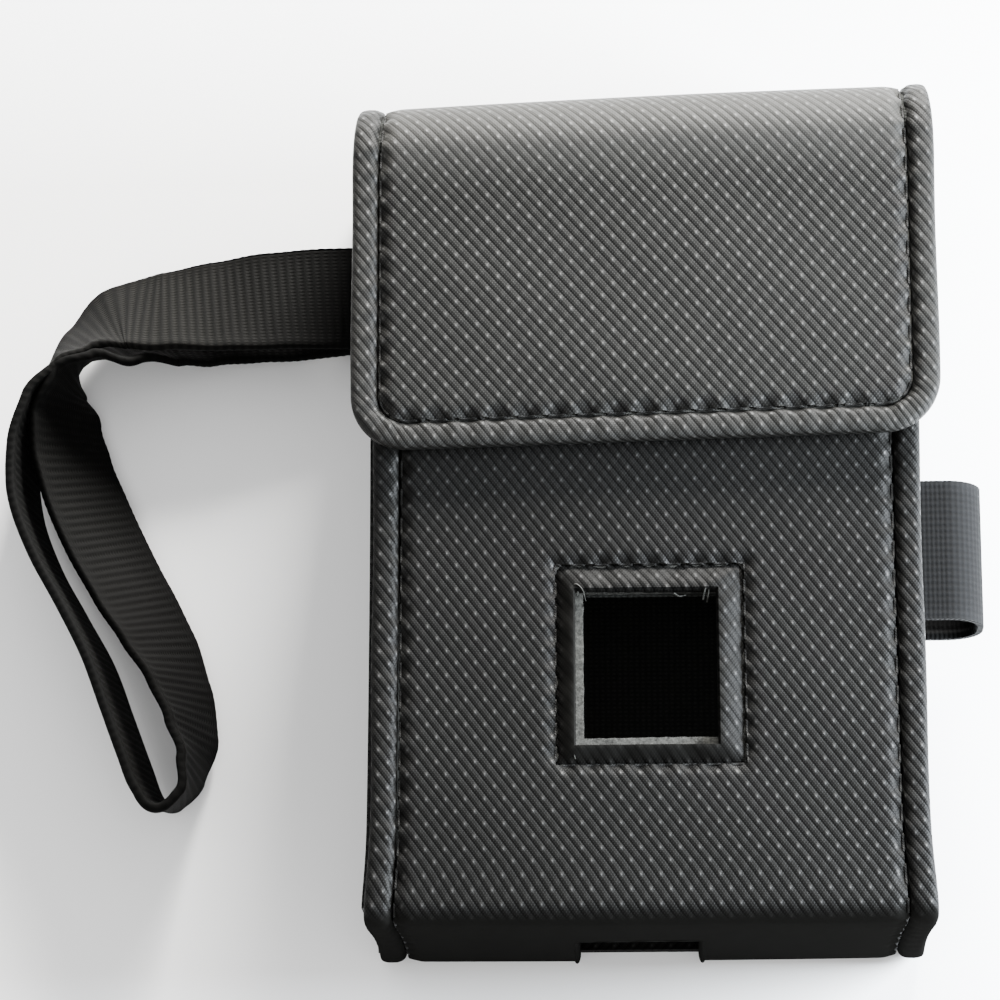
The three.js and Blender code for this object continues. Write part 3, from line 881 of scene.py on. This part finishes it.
def make_bead(
    name, line, place, seam, thickness, low, high, material=LEATHERETTE, wear=0.12, pressed=None
):
    """A rolled edge beside a seam. line gives the outer edge's place and outward direction."""
    across, over = bead_section()
    at = np.arange(low, high, 0.42)
    u0, v0, out_u, out_v = line(at)
    half = BEAD_WIDTH / 2
    w = half - across * half
    u = u0[:, None] - out_u[:, None] * w[None, :]
    v = v0[:, None] - out_v[:, None] * w[None, :]
    half_thick = thickness / 2
    d = half_thick * over[None, :] - half_thick + 0.12
    facing = smooth(0.0, 0.8, over)[None, :]
    lumps = 0.05 * np.sin(2 * math.pi * at / 3.36)[:, None]
    d = np.broadcast_to(d, u.shape) + lumps * facing
    d = d - facing * seam.pull(u, v) * 0.9
    side_give = 0.08 * np.sin(at / 5.3)[:, None] * smooth(0.5, 1.0, across)[None, :]
    u = u + out_u[:, None] * side_give
    rings = place(u, v, d)
    angle_length = lengths_along(stacked(across, over)) * half
    flat_u = u0[:, None] + out_u[:, None] * (angle_length[None, :] - BEAD_WIDTH)
    flat_v = v0[:, None] + out_v[:, None] * (angle_length[None, :] - BEAD_WIDTH)
    worn = wear * smooth(-0.2, 0.9, over)[None, :] * smooth(-0.9, 0.4, across)[None, :]
    if pressed is not None:
        worn = worn - pressed(v0)[:, None]
    return tube(name, rings, stacked(flat_u, flat_v, worn), material)


def side_line(sign):
    """Gives the outer edge's place and outward direction down one side of the body's pattern."""

    def line(at):
        ones = np.ones_like(at)
        return sign * SIDE_X * ones, at, sign * ones, 0 * ones

    return line


def make_body_beads():
    """A rolled edge down each side of the back, along the bottom and up the front."""
    thickness, start, end = 2.4, 0.3, front_s(FRONT_EDGE_Y) + 1.0
    for side, sign, seam in (("left", -1, BODY_SEAMS[0]), ("right", 1, BODY_SEAMS[1])):
        bead = make_bead(
            f"body_{side}_bead",
            side_line(sign),
            body_point,
            seam,
            thickness,
            start,
            end,
            wear=0.0,
            pressed=pressed_flat,
        )
        rolls = (f"front_{side}_roll", f"bottom_{side}_roll", f"back_{side}_roll")
        settle(bead, "root", rolls)


# ---- gussets, boards and linings

GUSSET_MOUTH_Y = 52.6
GUSSET_LOW_Z, GUSSET_HIGH_Z = 1.9, FRONT_Z - 1.9


def gusset_point(sign, y, z, d):
    """A place on a side wall, which bows in a little between its beads."""
    bow = 0.5 * np.sin(math.pi * np.clip((z - GUSSET_LOW_Z) / (GUSSET_HIGH_Z - GUSSET_LOW_Z), 0, 1))
    x = SIDE_X - 0.4 - 0.7 * bow + flare(y, z) + d
    return stacked(sign * x, y, z)


STRAP_ROOT_Z = 5.9
SLIT_HALF_LENGTH, SLIT_HALF_HEIGHT = 7.8, 1.6
GUSSET_TURN = 1.6


def hole_edges(holes, axis):
    """The places along one axis of a pattern at which its holes start and end."""
    return [hole[k] for hole in holes for k in (axis, axis + 2)]


def gusset_cover_point(sign, y, z):
    """A place on a side wall's cover, which is turned in over the mouth's edge."""
    over_edge = np.maximum(y - (GUSSET_MOUTH_Y - GUSSET_TURN), 0)
    angle = np.minimum(over_edge / GUSSET_TURN, math.pi)
    past = np.maximum(over_edge - math.pi * GUSSET_TURN, 0)
    turned_y = GUSSET_MOUTH_Y - GUSSET_TURN + GUSSET_TURN * np.sin(angle) - past
    flat_y = np.where(over_edge > 0, turned_y, y)
    inward = GUSSET_TURN * (1 - np.cos(angle))
    raised = 0.06 * np.sin(y / 4.1) * np.sin(z / 5.0)
    if sign < 0:
        # Set back at its front corner, which the flap brushes as it unfolds askew.
        flat_y = flat_y - 0.9 * smooth(20, 28, z) * smooth(38, GUSSET_MOUTH_Y - 1, flat_y)
        from_slit = np.hypot(
            np.maximum(np.abs(y - STRAP_ROOT_Y) - SLIT_HALF_LENGTH, 0),
            np.maximum(np.abs(z - STRAP_ROOT_Z) - SLIT_HALF_HEIGHT, 0),
        )
        raised = raised + 0.35 * np.exp(-((from_slit / 1.2) ** 2))
    return gusset_point(sign, flat_y, z, raised - inward)


def make_gussets():
    """The covers of both side walls. The left one is slit for the strap."""
    slit_y = (STRAP_ROOT_Y - SLIT_HALF_LENGTH, STRAP_ROOT_Y + SLIT_HALF_LENGTH)
    slit_z = (STRAP_ROOT_Z - SLIT_HALF_HEIGHT, STRAP_ROOT_Z + SLIT_HALF_HEIGHT)
    slit = (slit_y[0], slit_z[0], slit_y[1], slit_z[1])
    for side, sign, holes in (("left", -1, [slit]), ("right", 1, [])):
        columns = spaced(BOTTOM_Y + 1.4, GUSSET_MOUTH_Y + 7.5, 0.5, hole_edges(holes, 0))
        rows = spaced(GUSSET_LOW_Z - 0.6, GUSSET_HIGH_Z + 0.6, 0.6, hole_edges(holes, 1))

        def place(y, z, sign=sign):
            return gusset_cover_point(sign, y, z)

        cover = sheet(f"{side}_gusset_cover", place, columns, rows, COVER, LEATHERETTE, holes)
        settle(cover, "root", (f"{side}_cover",))


def slab_piece(name, low, high, material, node, holes=(), cut_edge=0.0):
    """A thin flat layer in a wall's plane. Its outline wavers by cut_edge where it was cut."""
    size = np.array(high) - np.array(low)
    flat_axis = int(np.argmin(size))
    u_axis, v_axis = [axis for axis in (X, Y, Z) if axis != flat_axis]
    columns = spaced(low[u_axis], high[u_axis], 1.0, hole_edges(holes, 0))
    rows = spaced(low[v_axis], high[v_axis], 1.0, hole_edges(holes, 1))

    def place(u, v):
        for low_u, low_v, high_u, high_v in holes:
            for edge in (low_u, high_u):
                on_edge = (np.abs(u - edge) < 1e-6) & (v >= low_v) & (v <= high_v)
                u = np.where(on_edge, u + cut_edge * np.sin(v * 5.1) * np.sin(v * 2.3), u)
            for edge in (low_v, high_v):
                on_edge = (np.abs(v - edge) < 1e-6) & (u >= low_u) & (u <= high_u)
                v = np.where(on_edge, v + cut_edge * np.sin(u * 4.7) * np.sin(u * 1.9), v)
        points = np.zeros((*u.shape, 3))
        points[..., u_axis] = u
        points[..., v_axis] = v
        points[..., flat_axis] = high[flat_axis] if flat_axis != Y else low[flat_axis]
        return points

    piece = sheet(name, place, columns, rows, size[flat_axis], material, holes)
    return settle(piece, "root", (node,))


def node_corners(node):
    """Low and high corners of a CAD node's box, in mm."""
    low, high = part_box(node)
    return [c / MM for c in low], [c / MM for c in high]


# The window through the front board: low x, low y, high x, high y.
WINDOW_HOLE = (-8.6, -33.65, 9.2, -13.75)


def make_boards_and_linings():
    """The stiff boards, whose cut edge shows in the window, and the soft linings, which bow into
    the pocket."""
    holes = {
        "front": [WINDOW_HOLE],
        "bottom": [(SLOT_LEFT - 1.5, -1.0, SLOT_RIGHT + 1.5, SLOT_DEPTH + 1.5)],
    }
    for wall in ("front", "back", "bottom", "left", "right"):
        low, high = node_corners(f"{wall}_board")
        if wall == "back":
            low[Y] += 1.5
        if wall in ("left", "right"):
            high[Y] = GUSSET_MOUTH_Y - 1.2
            inward = 0.9 if wall == "left" else -0.9
            low[X], high[X] = low[X] + inward, high[X] + inward
        cut = holes.get(wall, [])
        slab_piece(f"{wall}_stiff_board", low, high, BOARD, f"{wall}_board", cut, 0.09)
    for wall, axis, sign in (
        ("front", Z, -1),
        ("back", Z, 1),
        ("bottom", Y, 1),
        ("left", X, 1),
        ("right", X, -1),
    ):
        make_lining(wall, axis, sign)


def make_lining(wall, axis, sign):
    """One wall's lining, which bows along axis, towards its high side where sign is positive."""
    low, high = node_corners(f"{wall}_lining")
    if wall in ("left", "right"):
        high[Y] = GUSSET_MOUTH_Y - 1.2
    u_axis, v_axis = [a for a in (X, Y, Z) if a != axis]
    holes = {"front": [WINDOW_HOLE], "bottom": [(SLOT_LEFT, low[Z] - 1, SLOT_RIGHT, SLOT_DEPTH)]}
    cut = holes.get(wall, [])
    columns = spaced(low[u_axis], high[u_axis], 0.9, hole_edges(cut, 0))
    rows = spaced(low[v_axis], high[v_axis], 0.9, hole_edges(cut, 1))

    def place(u, v):
        share_u = (u - low[u_axis]) / (high[u_axis] - low[u_axis])
        share_v = (v - low[v_axis]) / (high[v_axis] - low[v_axis])
        bow = np.sin(math.pi * share_u) * np.sin(math.pi * share_v)
        wrinkle = 0.12 * np.sin(u / 6.0 + v / 9.0) * np.sin(v / 5.0) * bow
        points = np.zeros((*u.shape, 3))
        points[..., u_axis] = u
        points[..., v_axis] = v
        inner = high[axis] if sign > 0 else low[axis]
        points[..., axis] = inner + sign * (0.35 * bow + wrinkle)
        return points

    lining = sheet(f"{wall}_pocket_lining", place, columns, rows, LINING, KNIT, cut)
    settle(lining, "root", (f"{wall}_lining",))


def make_slot_edge():
    """The cover's turned edge round the slot in the bottom."""
    low_z, back = 1.2, BOTTOM_Y + 1.2
    line = Path(
        [
            (SLOT_LEFT - 0.2, low_z),
            (SLOT_LEFT - 0.2, SLOT_DEPTH + 0.2),
            (SLOT_RIGHT + 0.2, SLOT_DEPTH + 0.2),
            (SLOT_RIGHT + 0.2, low_z),
        ],
        [1.0, 1.0],
    )
    at = np.arange(0, line.length, 0.3)
    angle = np.linspace(0, 2 * math.pi, 16, endpoint=False)
    across = 0.55 * np.cos(angle)
    deep = 1.5 * np.sin(angle)
    a, b = line.point(at)
    out_a, out_b = line.outward(at)
    x = a[:, None] + out_a[:, None] * across[None, :]
    z = b[:, None] + out_b[:, None] * across[None, :]
    y = back + np.broadcast_to(deep[None, :], x.shape) + 0.04 * np.sin(at * 1.3)[:, None]
    cloth = stacked(at[:, None], deep[None, :], PRESSED_FLAT)
    edge = tube("slot_turned_edge", np.stack([x, y, z], axis=-1), cloth, LEATHERETTE)
    settle(edge, "root")


# ---- window

# The border stops short of the board's edge at the left and bottom, where the raw board shows.
BINDING_HOLE = (WINDOW_HOLE[0] - BOARD_LIP, WINDOW_HOLE[1] - BOARD_LIP, *WINDOW_HOLE[2:])
# Pressing of the border's bottom, right, top and left sides. All are pressed, but the left and
# bottom most, with fewer painted glints and less shine: painted shade on the sides that face
# away from the light.
BORDER_PRESSING_AND_SHADE = (-0.75, -0.2, -0.15, -0.85)


def border_pressing_and_shade(side, t, per_side):
    """The pressing and painted shade at share t of one side, eased into its neighbours' at the
    corners.
    """
    from_last = 0.5 * math.exp(-t * per_side / 1.6)
    from_next = 0.5 * math.exp(-(1 - t) * per_side / 1.6)
    last, following = BORDER_PRESSING_AND_SHADE[side - 1], BORDER_PRESSING_AND_SHADE[(side + 1) % 4]
    own = BORDER_PRESSING_AND_SHADE[side] * (1 - from_last - from_next)
    return own + last * from_last + following * from_next


def make_window_binding():
    """The turned and sewn border: it rises from its seam to a soft crest and rolls in over the
    board's edge."""
    count = 96
    per_side = count // 4
    share = np.linspace(0, 1, 22)
    outer = (BORDER_LOW_X - 0.1, BORDER_LOW_Y - 0.1, BORDER_HIGH_X + 0.1, BORDER_HIGH_Y + 0.1)
    inner = BINDING_HOLE
    rise = -0.75 + 1.35 * smooth(-0.1, 0.85, share) - 1.3 * smooth(0.86, 1.0, share)
    across = np.minimum(share / 0.93, 1.0)
    rings = []
    cloth = []
    for k in range(count):
        side, step = divmod(k, per_side)
        t = step / per_side
        corner = [(0, 1), (2, 1), (2, 3), (0, 3)]
        a, b = corner[side], corner[(side + 1) % 4]
        start = np.array([[r[a[0]], r[a[1]]] for r in (outer, inner)], float)
        end = np.array([[r[b[0]], r[b[1]]] for r in (outer, inner)], float)
        edge = start + (end - start) * t
        flat = edge[0] + (edge[1] - edge[0]) * across[:, None]
        lump = 0.12 * math.sin(k * 1.3) + 0.08 * math.sin(k * 0.61 + side)
        near_corner = min(t, 1 - t) * per_side
        lump -= 0.12 * math.exp(-near_corner / 1.2)
        height = rise + lump * np.sin(math.pi * share)
        s = front_s(flat[:, 1])
        scallop = WINDOW_SEAM.pull(flat[:, 0], s) * smooth(0.6, 0.1, share)
        top = body_point(flat[:, 0], s, height - scallop * 0.5)
        under = body_point(flat[:, 0], s, np.minimum(height - 0.5, -0.75) * np.ones_like(share))
        rings.append(np.concatenate([top, under[::-1]]))
        # Pressed, and more so on the sides that face away from the light: painted shade.
        worn = border_pressing_and_shade(side, t, per_side) * smooth(0.0, 0.5, share)
        top_cloth = np.stack([flat[:, 0], s, worn], axis=1)
        cloth.append(np.concatenate([top_cloth, top_cloth[::-1]]))
    rings, cloth = np.array(rings), np.array(cloth)
    sides = rings.shape[1]
    faces = grid_faces(count + 1, sides, wrap=True) % (count * sides)
    binding = add_piece(
        "window_border", rings.reshape(-1, 3), faces, cloth.reshape(-1, 3), LEATHERETTE
    )
    settle(binding, "root", ("window_binding",))


# Middle line of each loose fibre.
FRAYED_FIBRES = [
    [(-10.3, -13.3, 32.6), (-9.5, -12.9, 33.5), (-8.7, -13.6, 33.6), (-8.2, -15.0, 32.6)],
    [(-9.4, -14.2, 32.3), (-9.0, -13.1, 33.2), (-8.3, -14.0, 32.9)],
    [(7.4, -14.9, 32.2), (7.6, -13.9, 33.2), (8.0, -13.0, 33.5), (8.6, -12.5, 33.4)],
    [(7.9, -15.2, 32.1), (8.1, -14.2, 32.8), (8.2, -13.3, 33.0)],
    [(3.5, -14.2, 32.9), (4.2, -14.6, 33.0), (5.1, -14.4, 32.8)],
    [(-9.6, -34.9, 32.3), (-9.9, -35.8, 33.0), (-9.7, -36.8, 33.4)],
]


def make_fibres():
    """Loose fibres of the board where the window's corners were cut."""
    turns = np.linspace(0, 2 * math.pi, 6)[:-1]
    parts = []
    for stops in FRAYED_FIBRES:
        stops = np.array(stops)
        t = np.linspace(0, 1, 14)
        line = centripetal(stops, t)
        radius = 0.14 * (1 - 0.75 * t)
        along = np.gradient(line, axis=0)
        side = np.cross(along, (0.3, 0.2, 1.0))
        side /= np.linalg.norm(side, axis=1, keepdims=True)
        other = np.cross(along, side)
        other /= np.linalg.norm(other, axis=1, keepdims=True)
        ring = (
            side[:, None, :] * np.cos(turns)[None, :, None]
            + other[:, None, :] * np.sin(turns)[None, :, None]
        )
        rings = line[:, None, :] + ring * radius[:, None, None]
        parts.append((rings, np.zeros_like(rings)))
    settle(sew("frayed_fibres", parts, BOARD), "root")


def make_body_threads():
    """The stitches of the long seams and of the window's border."""
    for side, seam in (("left", BODY_SEAMS[0]), ("right", BODY_SEAMS[1])):
        threads = sew(f"body_{side}_stitches", thread_rings(body_point, seam))
        settle(threads, "root", (f"thread_front_{side}", f"thread_back_{side}"))
    threads = sew("window_stitches", thread_rings(body_point, WINDOW_SEAM))
    settle(threads, "root", ("thread_window",))


# ---- flap

FLAP_PATH = Path(
    [(LIP_Y, FLAP_OUTER_Z), (END_Y, FLAP_OUTER_Z), (END_Y, 0), (BACK_EDGE_Y + 0.1, 0)],
    [FRONT_FOLD_RADIUS, BACK_FOLD_RADIUS],
)
FOLD_START_S = END_Y - LIP_Y - FRONT_FOLD_RADIUS
FOLD_END_S = FOLD_START_S + FRONT_FOLD_RADIUS * math.pi / 2
END_STRIP = FLAP_OUTER_Z - FRONT_FOLD_RADIUS - BACK_FOLD_RADIUS
SPLIT_S = FOLD_END_S + END_STRIP / 2
LIP_RADIUS = 7.5
FLAP_SEAM_X = FLAP_X - SEAM_INSET
LIP_SKEW, TOP_SKEW = 0.026, 0.036


def flap_point(x, s, d):
    """A place on the flap: x across, s along it from the lip and d out of it. The flap was sewn
    on a little askew, so its right side sits higher."""
    y, z = FLAP_PATH.point(s)
    out_y, out_z = FLAP_PATH.outward(s)
    y = y + out_y * d
    z = z + out_z * d
    turn = LIP_SKEW + (TOP_SKEW - LIP_SKEW) * smooth(0, FOLD_START_S, s)
    high = smooth(BACK_FOLD_RADIUS + 3, FLAP_OUTER_Z - 4, z)
    pinch = 1 - 0.018 * smooth(FOLD_START_S - 4, FOLD_END_S, s)
    return stacked(x * pinch, y + x * turn * high, z)


FLAP_OUTLINE = Path(
    [(FLAP_X, FLAP_PATH.length), (FLAP_X, 0), (-FLAP_X, 0), (-FLAP_X, FLAP_PATH.length)],
    [LIP_RADIUS, LIP_RADIUS],
)
OUTLINE_SPLIT = FLAP_PATH.length - SPLIT_S


def flap_line(at):
    """Place and outward direction of the flap's edge, from its right side round the lip."""
    u, v = FLAP_OUTLINE.point(at)
    out_u, out_v = FLAP_OUTLINE.outward(at)
    return u, v, out_u, out_v


def flap_seam():
    """The seam inside the flap's edge."""
    at = FLAP_OUTLINE.at
    u, v = FLAP_OUTLINE.point(at, -SEAM_INSET)
    return Seam(np.stack([u, v], axis=1))


FLAP_SEAM = flap_seam()


def flap_swell(x, s):
    """How far the flap's soft cover stands out between its seams."""
    crown = 0.28 * (1 - (x / FLAP_SEAM_X) ** 2) * smooth(0, 12, s)
    ripple = 0.06 * np.sin(x / 6.1 + s / 8.0) * np.sin(s / 6.3 + 0.9)
    return crown + ripple - FLAP_SEAM.pull(x, s)


def flap_half_width(s, inset):
    """Half of the flap's width at s, inside an inset that follows its rounded lip corners."""
    radius = LIP_RADIUS - inset
    below = np.clip(radius - (s - inset), 0, radius)
    return FLAP_X - inset - (radius - np.sqrt(np.maximum(radius**2 - below**2, 0)))


def flap_layer(name, low_s, high_s, inset, depth, thickness, material, swell, step=0.5):
    """One sheet of the flap between two lengths along it."""
    share = np.linspace(-1, 1, round(2 * FLAP_X / step))

    def place(t, s):
        x = t * flap_half_width(s, inset)
        d = np.broadcast_to(depth(s), s.shape) if callable(depth) else depth
        return flap_point(x, s, d + swell(x, s))

    def cloth(t, s):
        x = t * flap_half_width(s, inset)
        # Lighter over the front fold, which turns up towards the light: a painted highlight.
        fold_painted_highlight = 0.75 * smooth(FOLD_START_S - 7, FOLD_START_S + 8, s)
        return stacked(x / FLAP_STRETCH, s, fold_painted_highlight * smooth(FOLD_END_S + 6, FOLD_END_S, s))

    lip = [inset + 0.15, inset + 0.5] if low_s < 1 else []
    rows = spaced(max(low_s, inset), high_s, step, lip)
    return sheet(name, place, share, rows, thickness, material, cloth=cloth)


def blend_back(piece):
    """Bakes the place of a piece on the flap's end length into its mesh."""
    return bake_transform(piece)


def blend_front(piece):
    """Bakes the place of a piece on the flap's front length into its mesh."""
    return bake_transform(piece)


def lining_depth(s):
    """How deep the flap's lining lies: under the board, but close to the cover at the folds."""
    at_front = smooth(FOLD_START_S - 1.5, FOLD_START_S + 2, s)
    at_front = at_front * smooth(FOLD_END_S + 1.5, FOLD_END_S - 2, s)
    back_start = FOLD_END_S + END_STRIP
    at_back = smooth(back_start - 1.5, back_start + 2, s)
    return -(WALL - LINING) + (WALL - 1.3) * np.maximum(at_front, at_back)


def still(x, s):
    """The swell of a layer that lies flat."""
    return 0.0 * x


def settle_bent(piece, bend, slot, *replaced):
    """Hides the CAD nodes that a piece on the flap shows, then bakes its place into its mesh."""
    if replaced:
        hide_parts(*replaced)
    bend(piece)


# The flap's two lengths: where each starts and ends, the function that bakes its place and the fold
# that it shows.
FLAP_LENGTHS = (
    ("front", 0, SPLIT_S, blend_front, "front_fold"),
    ("end", SPLIT_S, FLAP_PATH.length, blend_back, "back_fold"),
)


def make_flap_layers():
    """The flap's cover, its lining and the boards between them."""
    for part, low, high, bend, fold in FLAP_LENGTHS:
        skin = flap_layer(
            f"flap_{part}_skin", low, high, SEAM_INSET, 0.0, COVER, FLAP_LEATHERETTE_PAINTED_LIGHTER, flap_swell
        )
        settle_bent(skin, bend, "cover", f"flap_{part}_cover", fold)
    inset = SEAM_INSET - 1.2
    for part, low, high, bend, _ in FLAP_LENGTHS:
        lining = flap_layer(
            f"flap_{part}_inside", low, high, inset, lining_depth, LINING, KNIT, still, step=0.9
        )
        settle_bent(lining, bend, "lining", f"flap_{part}_lining")
    end_low, end_high = FOLD_END_S + 0.6, FOLD_END_S + END_STRIP - 0.6
    for part, low, high in (("front", 0, FOLD_START_S - 0.6), ("end", end_low, end_high)):
        stiff = flap_layer(
            f"flap_{part}_stiffener", low, high, SEAM_INSET - 0.2, -0.9, 1.0, BOARD, still, step=1.0
        )
        settle(stiff, f"flap_{part}", (f"flap_{part}_board",))


def make_flap_edges():
    """The rolled rim round the flap's front length and a bead down each side of its end."""
    length = FLAP_OUTLINE.length
    for name, node, bend, low, high in (
        ("flap_rim", "flap_front_roll", blend_front, OUTLINE_SPLIT, length - OUTLINE_SPLIT),
        ("flap_end_right_bead", "flap_end_right_roll", blend_back, 0.2, OUTLINE_SPLIT + 0.2),
        (
            "flap_end_left_bead",
            "flap_end_left_roll",
            blend_back,
            length - OUTLINE_SPLIT - 0.6,
            length - 0.2,
        ),
    ):
        bead = make_bead(name, flap_line, flap_point, FLAP_SEAM, WALL, low, high, FLAP_LEATHERETTE_PAINTED_LIGHTER)
        settle_bent(bead, bend, "rolled_edge", node)


def make_flap_stitches():
    """The flap's thread, split where its front length meets its end."""
    stitches = thread_rings(flap_point, FLAP_SEAM)
    centres = FLAP_SEAM.centres()
    on_front = (centres > OUTLINE_SPLIT) & (centres < FLAP_SEAM.at[-1] - OUTLINE_SPLIT)
    front = sew("flap_front_stitches", [p for p, f in zip(stitches, on_front) if f])
    settle_bent(front, blend_front, "thread", "thread_flap")
    end = sew("flap_end_stitches", [p for p, f in zip(stitches, on_front) if not f])
    settle_bent(end, blend_back, "thread")


# ---- closure and pen loop


def patch(name, node, material, body):
    """A hook or loop patch with a tufted pile surface."""
    low, high = node_corners(node)
    columns = spaced(low[X], high[X], 0.35)
    rows = spaced(low[Y], high[Y], 0.35)
    top = body == "root"

    def place(x, y):
        edge_x = np.minimum(x - low[X], high[X] - x)
        edge_y = np.minimum(y - low[Y], high[Y] - y)
        tufts = 0.09 * np.sin(x * 9.1) * np.sin(y * 8.3) + 0.05 * np.sin(x * 4.3 + y * 5.7)
        fade = smooth(0.0, 0.8, np.minimum(edge_x, edge_y))
        base = high[Z] if top else low[Z]
        z = base + (tufts * fade - 0.1) * (1 if top else -1)
        return stacked(x, y, z)

    piece = sheet(name, place, columns, rows, 0.3 if top else -0.3, material)
    settle(piece, body, (node,))


PEN_LOOP_RIB = 0.62


def make_pen_loop():
    """A band of ribbed elastic bent round a pen, both ends sewn to the right side."""
    low, high = node_corners("pen_loop")
    root_x, tip_x = low[X] - 0.9, high[X]
    mid_z, half = (low[Z] + high[Z]) / 2, (high[Z] - low[Z]) / 2
    line = Path(
        [
            (root_x, mid_z - half),
            (tip_x, mid_z - half),
            (tip_x, mid_z + half),
            (root_x, mid_z + half),
        ],
        [half * 0.8, half * 0.8],
    )
    at = np.arange(0, line.length, 0.1)
    rib = 0.5 + 0.5 * np.cos(2 * math.pi * at / PEN_LOOP_RIB)
    across = np.linspace(low[Y], high[Y], 44)
    edge = np.minimum(across - low[Y], high[Y] - across)
    selvage = smooth(1.5, 1.2, edge)
    groove = np.exp(-(((edge - 1.4) / 0.18) ** 2))
    rounded = -0.25 * np.exp(-((edge / 0.5) ** 2))
    a, b = line.point(at)
    out_a, out_b = line.outward(at)
    thickness = 1.1
    outer = -0.12 * rib[:, None] * (1 - selvage)[None, :] - 0.2 * groove[None, :] + rounded
    inner = -thickness + 0.1 * rib[:, None]

    def layer(d):
        return stacked(a[:, None] + out_a[:, None] * d, across, b[:, None] + out_b[:, None] * d)

    rings = np.concatenate([layer(outer), layer(inner)[:, ::-1]], axis=1)
    flat = stacked(at[:, None], across, 0.25 * selvage)
    cloth = np.concatenate([flat, flat[:, ::-1]], axis=1)
    loop = tube("pen_loop_elastic", rings, cloth, ELASTIC)
    settle(loop, "root", ("pen_loop",))


make_body_cover()
make_body_beads()
make_gussets()
make_boards_and_linings()
make_slot_edge()
make_window_binding()
make_fibres()
make_body_threads()
make_flap_layers()
make_flap_edges()
make_flap_stitches()
patch("loop_patch_pile", "loop_patch", LOOPS, "root")
patch("hook_patch_pile", "hook_patch", HOOKS, "flap_front")
make_pen_loop()


# ---- stage


# In metres.
LIGHT_TARGET = (0, 0, 0.02)
FLOOR_HALF_SIZE, FLOOR_Z = 3.0, -0.0006


def make_stage():
    """A plain pale floor, a low key light past the flap's end and a weaker one at the right. Its
    lengths are metres."""
    floor_mesh = bpy.data.meshes.new("floor")
    edge = FLOOR_HALF_SIZE
    corners = [(-edge, -edge, 0), (edge, -edge, 0), (edge, edge, 0), (-edge, edge, 0)]
    floor_mesh.from_pydata(corners, [], [(0, 1, 2, 3)])
    pale = bpy.data.materials.new("pale_floor")
    pale.use_nodes = True
    shader = pale.node_tree.nodes["Principled BSDF"]
    shader.inputs["Base Color"].default_value = (0.9, 0.9, 0.9, 1)
    shader.inputs["Roughness"].default_value = 0.9
    floor_mesh.materials.append(pale)
    floor = bpy.data.objects.new("floor", floor_mesh)
    floor.location.z = FLOOR_Z
    bpy.context.scene.collection.objects.link(floor)

    world = bpy.data.worlds.new("studio")
    world.use_nodes = True
    world.node_tree.nodes["Background"].inputs["Color"].default_value = (1, 1, 1, 1)
    world.node_tree.nodes["Background"].inputs["Strength"].default_value = 1.6
    bpy.context.scene.world = world

    add_light("key", (0.12, 0.50, 0.19), 0.20, 30.0, (1.0, 0.985, 0.95))
    add_light("side", (0.22, 0.0, 0.11), 0.12, 8.5, (0.86, 0.93, 1.0))


def add_light(name, place, size, power, colour):
    """A square area light aimed at the case, in metres and watts."""
    data = bpy.data.lights.new(name, "AREA")
    data.size = size
    data.energy = power
    data.color = colour
    light = bpy.data.objects.new(name, data)
    light.location = place
    aim = Vector(LIGHT_TARGET) - light.location
    light.rotation_euler = aim.to_track_quat("-Z", "Y").to_euler()
    bpy.context.scene.collection.objects.link(light)


make_stage()
